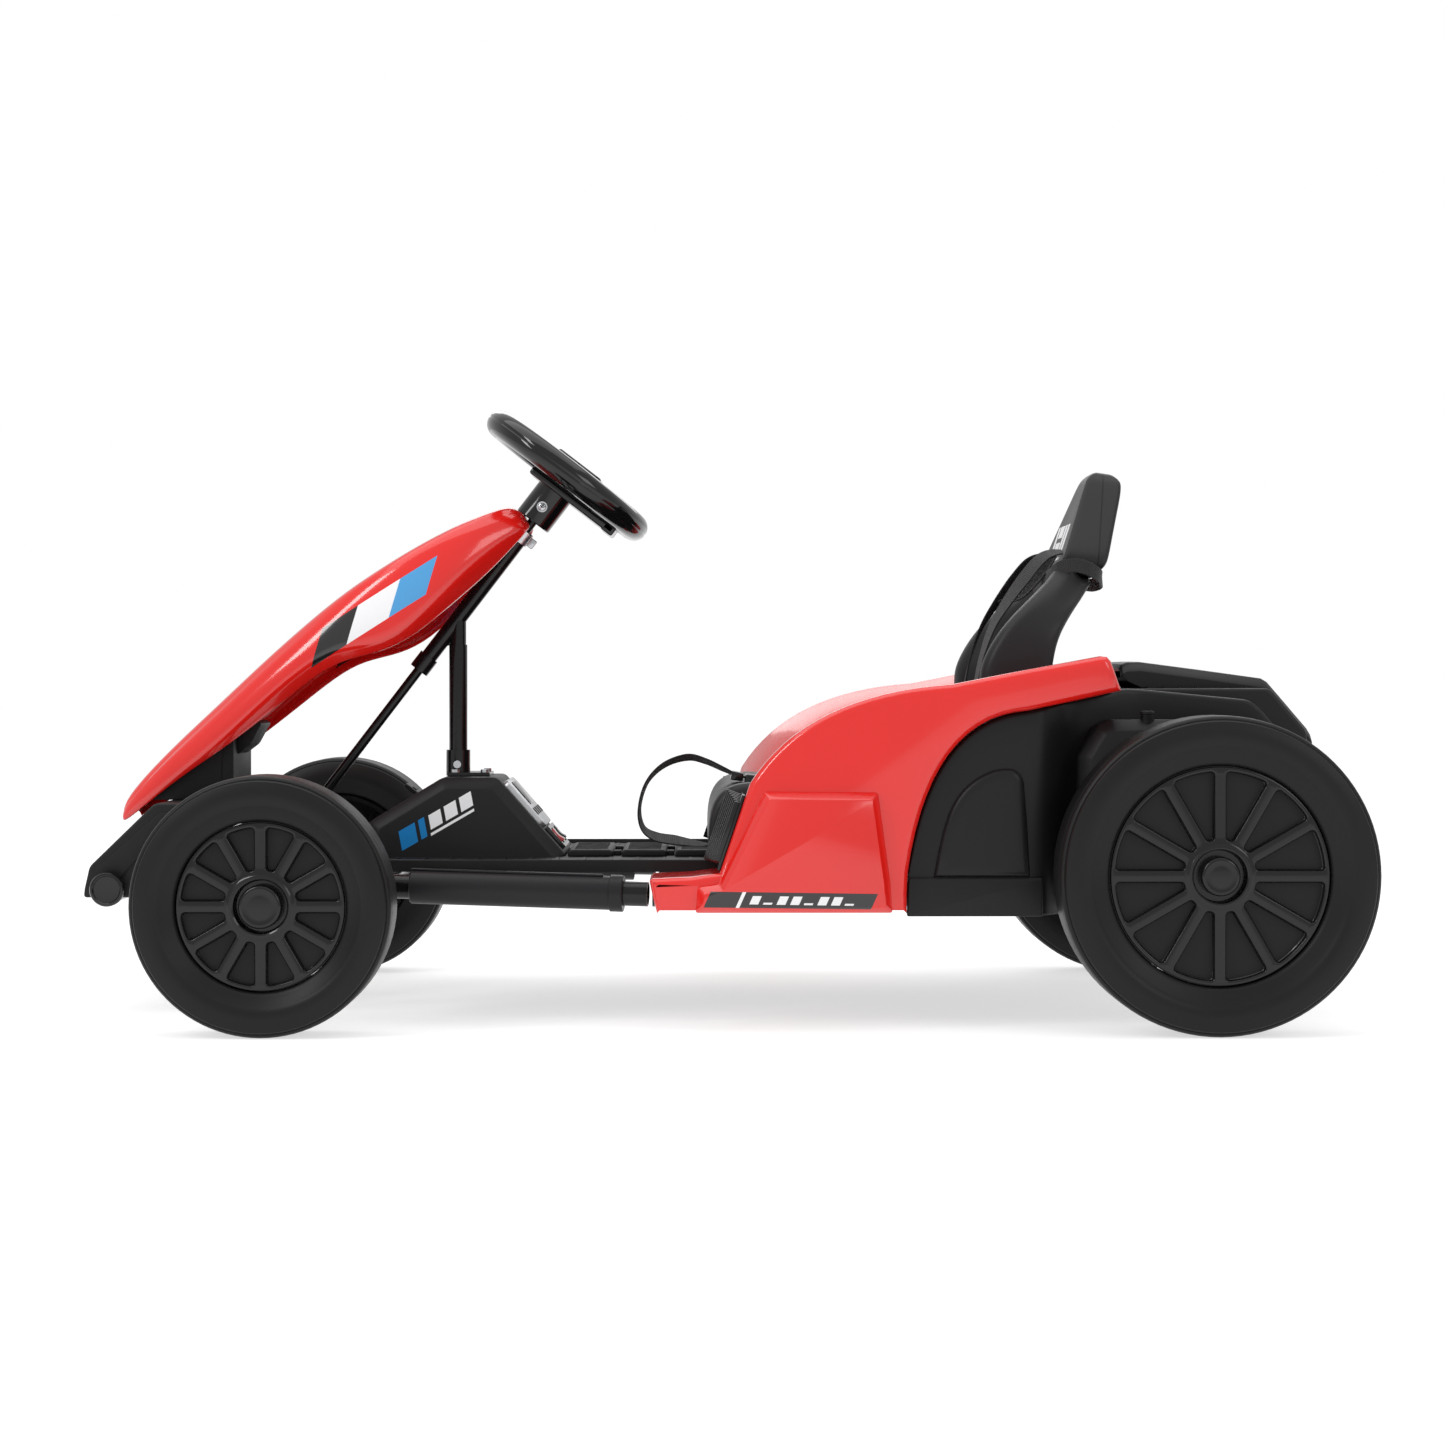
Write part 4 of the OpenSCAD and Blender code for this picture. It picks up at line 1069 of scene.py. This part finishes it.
# Gearboxes: chamfered glass-filled nylon housings beside the rear wheels. A ribbed knob of
# the same nylon stands on top of each.
nylon = moulded("glass_filled_black_nylon", "#19191a", 0.46, 0.8, 0.07)
bm = bmesh.new()
housing = [(353, 162), (353, 262), (371, 291), (384, 297), (446, 297), (500, 240), (516, 165),
           (500, 134), (380, 134)]
rings(bm, stepped(housing, 2, ((0, 213), (0, 258), (0.8, 260), (9.6, 269), (11, 270))))
knob = [(0, 0), (6.2, 0), (6.2, 1.2)]
for ridge in range(4):
    knob += [(6.5, 1.4 + 1.7 * ridge), (6.5, 2.3 + 1.7 * ridge), (5.7, 2.6 + 1.7 * ridge),
             (5.7, 2.9 + 1.7 * ridge)]
knob += [(6.9, 8.6), (6.9, 10.6), (6.2, 11.4), (0, 11.4)]
tube_between(bm, (419, 257, 294), (419, 257, 305.4), knob, 40)
paired(bm)
boxes = make_piece("gearbox_housings", bm, "chassis", [nylon], 35)
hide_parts("gearboxes")


# Rear tray and lid: black polypropylene over the batteries and the controller. The lid has
# chamfered edges, a low step all round and locating ribs under its rim.
bm = bmesh.new()
tray = corners_rounded([(346, 160), (590, 160), (590, 284), (553, 327), (346, 327)], 6, 4)
rings(bm, rolled(tray, -178, 178, 4))
tray_piece = make_piece("battery_tray", bm, "chassis", [fender_pp])
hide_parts("rear_body")

bm = bmesh.new()
loops = []
for x, low, high in ((408, 344, 347), (411, 340, 351), (416, 334, 353), (429, 328, 353.5),
                     (490, 326, 345.5), (551, 323, 337), (557, 320, 333.5), (576, 299, 311.5),
                     (597, 274, 287), (600.5, 271.5, 281)):
    half = [(150, low), (150, high - 9.5), (148.6, high - 7.5), (139.5, high - 0.9),
            (137, high - 0.2), (70, high + 0.6)]
    loops.append([(x, -y, z) for y, z in half] + [(x, 0, high + 0.8)]
                 + [(x, y, z) for y, z in reversed(half)])
skin(bm, loops)
for hand in (-1, 1):
    for i in range(6):
        block(bm, (440 + 16 * i, hand * 149.5, 327.5 - 0.3 * i), (9, 4, 5))
lid_piece = make_piece("battery_lid", bm, "chassis", [fender_pp], 22)
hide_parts("rear_cover")


# Steering wheel: two gloss black ABS half shells with a parting groove, a back plate, three
# spokes and a pad round the horn button. It is screwed across onto the hub sleeve.
def on_column(bm):
    """Lays a shape made upright, with z up the steering column, on the column."""
    turn = Matrix.Translation((-299, 0, 355)) @ Matrix.Rotation(math.radians(37.5), 4, "Y")
    bmesh.ops.transform(bm, matrix=turn, verts=bm.verts)


def turned_up(bm, profile, steps=96, centre=(0, 0, 0), mark=0):
    """Turns (radius, z) points round an upright axis."""
    made = lathe(bm, profile, steps, mark)
    verts = list({vert for face in made for vert in face.verts})
    bmesh.ops.rotate(bm, cent=(0, 0, 0), matrix=Matrix.Rotation(math.pi / 2, 3, "X"), verts=verts)
    bmesh.ops.translate(bm, vec=centre, verts=verts)
    bmesh.ops.remove_doubles(bm, verts=verts, dist=0.002)
    kept = [face for face in made if face.is_valid]
    bmesh.ops.recalc_face_normals(bm, faces=kept)


def soft_block(bm, low, high, soft):
    """A block between two corners with rolled edges."""
    low, high = Vector(low), Vector(high)
    made = block(bm, (low + high) / 2, high - low)
    edges = list({edge for vert in made for edge in vert.link_edges})
    bmesh.ops.bevel(bm, geom=edges, offset=soft, segments=3, affect="EDGES", profile=0.5,
                    material=-1, clamp_overlap=True)


wheel_gloss = moulded("gloss_black_steering_abs", "#0d0d0e", 0.12, 6.0, 0.02, coat=0.5)
bm = bmesh.new()
ring = []
for i in range(49):
    angle = math.tau * (i % 48) / 48
    thick = 14 - (0.7 if i % 24 == 0 else 0.0)
    ring.append((88 + thick * math.cos(angle), 244 - thick * math.sin(angle)))
turned_up(bm, ring, 120)
for angle in (90, 180, 270):
    spoke = bmesh.new()
    soft_block(spoke, (18, -13, 238), (80, 13, 247), 3)
    for vert in spoke.verts:
        if vert.co.x > 60:
            vert.co.y *= 1.25
    bmesh.ops.rotate(spoke, cent=(0, 0, 0), matrix=Matrix.Rotation(math.radians(angle), 3, "Z"),
                     verts=spoke.verts)
    add_part(bm, spoke)
soft_block(bm, (-34, -38, 230.4), (44, 38, 253), 5)
soft_block(bm, (-32, -30, 222), (75, 30, 231.5), 2.5)
soft_block(bm, (62, -30, 221), (76, 30, 234), 2)
for edge in (-31, 18):
    soft_block(bm, (-22, edge, 250), (33, edge + 13, 262), 3)
turned_up(bm, [(12.4, 252), (12.4, 258.8), (13, 259.6), (15.2, 259.6), (16, 258.8), (17, 252.5)],
          64, (-14, 0, 0))
for y in (-28, 28):
    turned_up(bm, [(0, 253.4), (3.4, 253.4), (4, 253)], 24, (-27, y, 0), mark=1)
on_column(bm)
rim_piece = make_piece("steering_wheel_shell", bm, "steering",
                       [wheel_gloss, plated])
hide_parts("steering_wheel")

bm = bmesh.new()
turned_up(bm, [(5.2, 184), (19, 184), (20, 185), (20, 222), (20.6, 223.6), (24, 224.4),
               (24, 229.6), (5.2, 229.6)], 72)
for hand in (-1, 1):
    head_screw = bmesh.new()
    turned_up(head_screw, [(0, 19.6), (5.6, 19.4), (5.6, 20.4), (4.2, 20.4), (4.2, 19.9),
                           (3.8, 21.6), (2.6, 22.4), (0, 22.6)], 32, mark=1)
    for size in ((4.8, 0.9, 0.5), (0.9, 4.8, 0.5)):
        block(head_screw, (0, 0, 22.5), size)
    bmesh.ops.rotate(head_screw, cent=(0, 0, 0),
                     matrix=Matrix.Rotation(math.radians(-90 * hand), 3, "X"),
                     verts=head_screw.verts)
    bmesh.ops.translate(head_screw, vec=(0, 0, 202), verts=head_screw.verts)
    add_part(bm, head_screw)
on_column(bm)
hub_piece = make_piece("hub_sleeve", bm, "steering", [wheel_gloss, plated])
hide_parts("steering_hub")

bm = bmesh.new()
turned_up(bm, [(0, 250), (11.8, 250), (11.8, 256), (11.2, 257.2), (8, 258.2), (0, 258.8)], 64,
          (-14, 0, 0))
on_column(bm)
horn = make_piece("horn_cap", bm, "horn", [red_button])
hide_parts("horn_button")


# Steering column: powder-coated tube with a swaged foot and a bright clamp band at its top.
# White nylon bushes show at both ends.
bm = bmesh.new()
turned_up(bm, [(8.4, 158), (10.4, 158), (10.4, 171.4), (9.6, 172.4), (6.6, 172.4)], 48)
soft_block(bm, (9, -3.4, 160), (17, 3.4, 170), 1.0)
on_column(bm)
make_piece("column_clamp", bm, "chassis", [plated])

bush_nylon = moulded("natural_white_nylon", "#d9d8d0", 0.42, 1.0, 0.04)
coat(bush_nylon, "column_bushes")
battery_case = moulded("grey_battery_case", "#3b3d40", 0.4, 1.2, 0.06)
coat(battery_case, "batteries")


# Accelerator: a moulded foot plate with raised grip ribs, on a bracket screwed to the floor.
bm = bmesh.new()
soft_block(bm, (-84, -0.2, 0.4), (-2, 49, 6), 2.2)
for i in range(6):
    soft_block(bm, (-76 + 12 * i, 6, 5.4), (-71 + 12 * i, 43, 7.2), 0.6)
bmesh.ops.rotate(bm, cent=(0, 0, 0), matrix=Matrix.Rotation(math.radians(38), 3, "Y"),
                 verts=bm.verts)
tube_between(bm, (0, 0, 0), (0, 49, 0), [(3.1, 0), (5.6, 0), (6, 0.6), (6, 48.4), (5.6, 49),
                                         (3.1, 49), (3.1, 0)], 40)
bmesh.ops.translate(bm, vec=(-268, 106.5, 167), verts=bm.verts)
pedal_piece = make_piece("pedal_plate", bm, "accelerator", [nylon])
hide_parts("pedal")
coat(powder, "pedal_base")


# Bumper bar's end caps: pressed-in gloss black plugs with a rolled rim and a shallow dish.
bm = bmesh.new()
tube_between(bm, (-601, 157, 127), (-601, 166, 127),
             [(14.6, 0), (16.4, 0), (17, 0.7), (17, 7.4), (16.2, 8.7), (14.4, 9), (13.4, 8.2),
              (12.8, 7.4), (0, 7.1)], 72)
paired(bm)
caps = make_piece("bar_plugs", bm, "chassis", [gloss_black])
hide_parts("bar_end_caps")
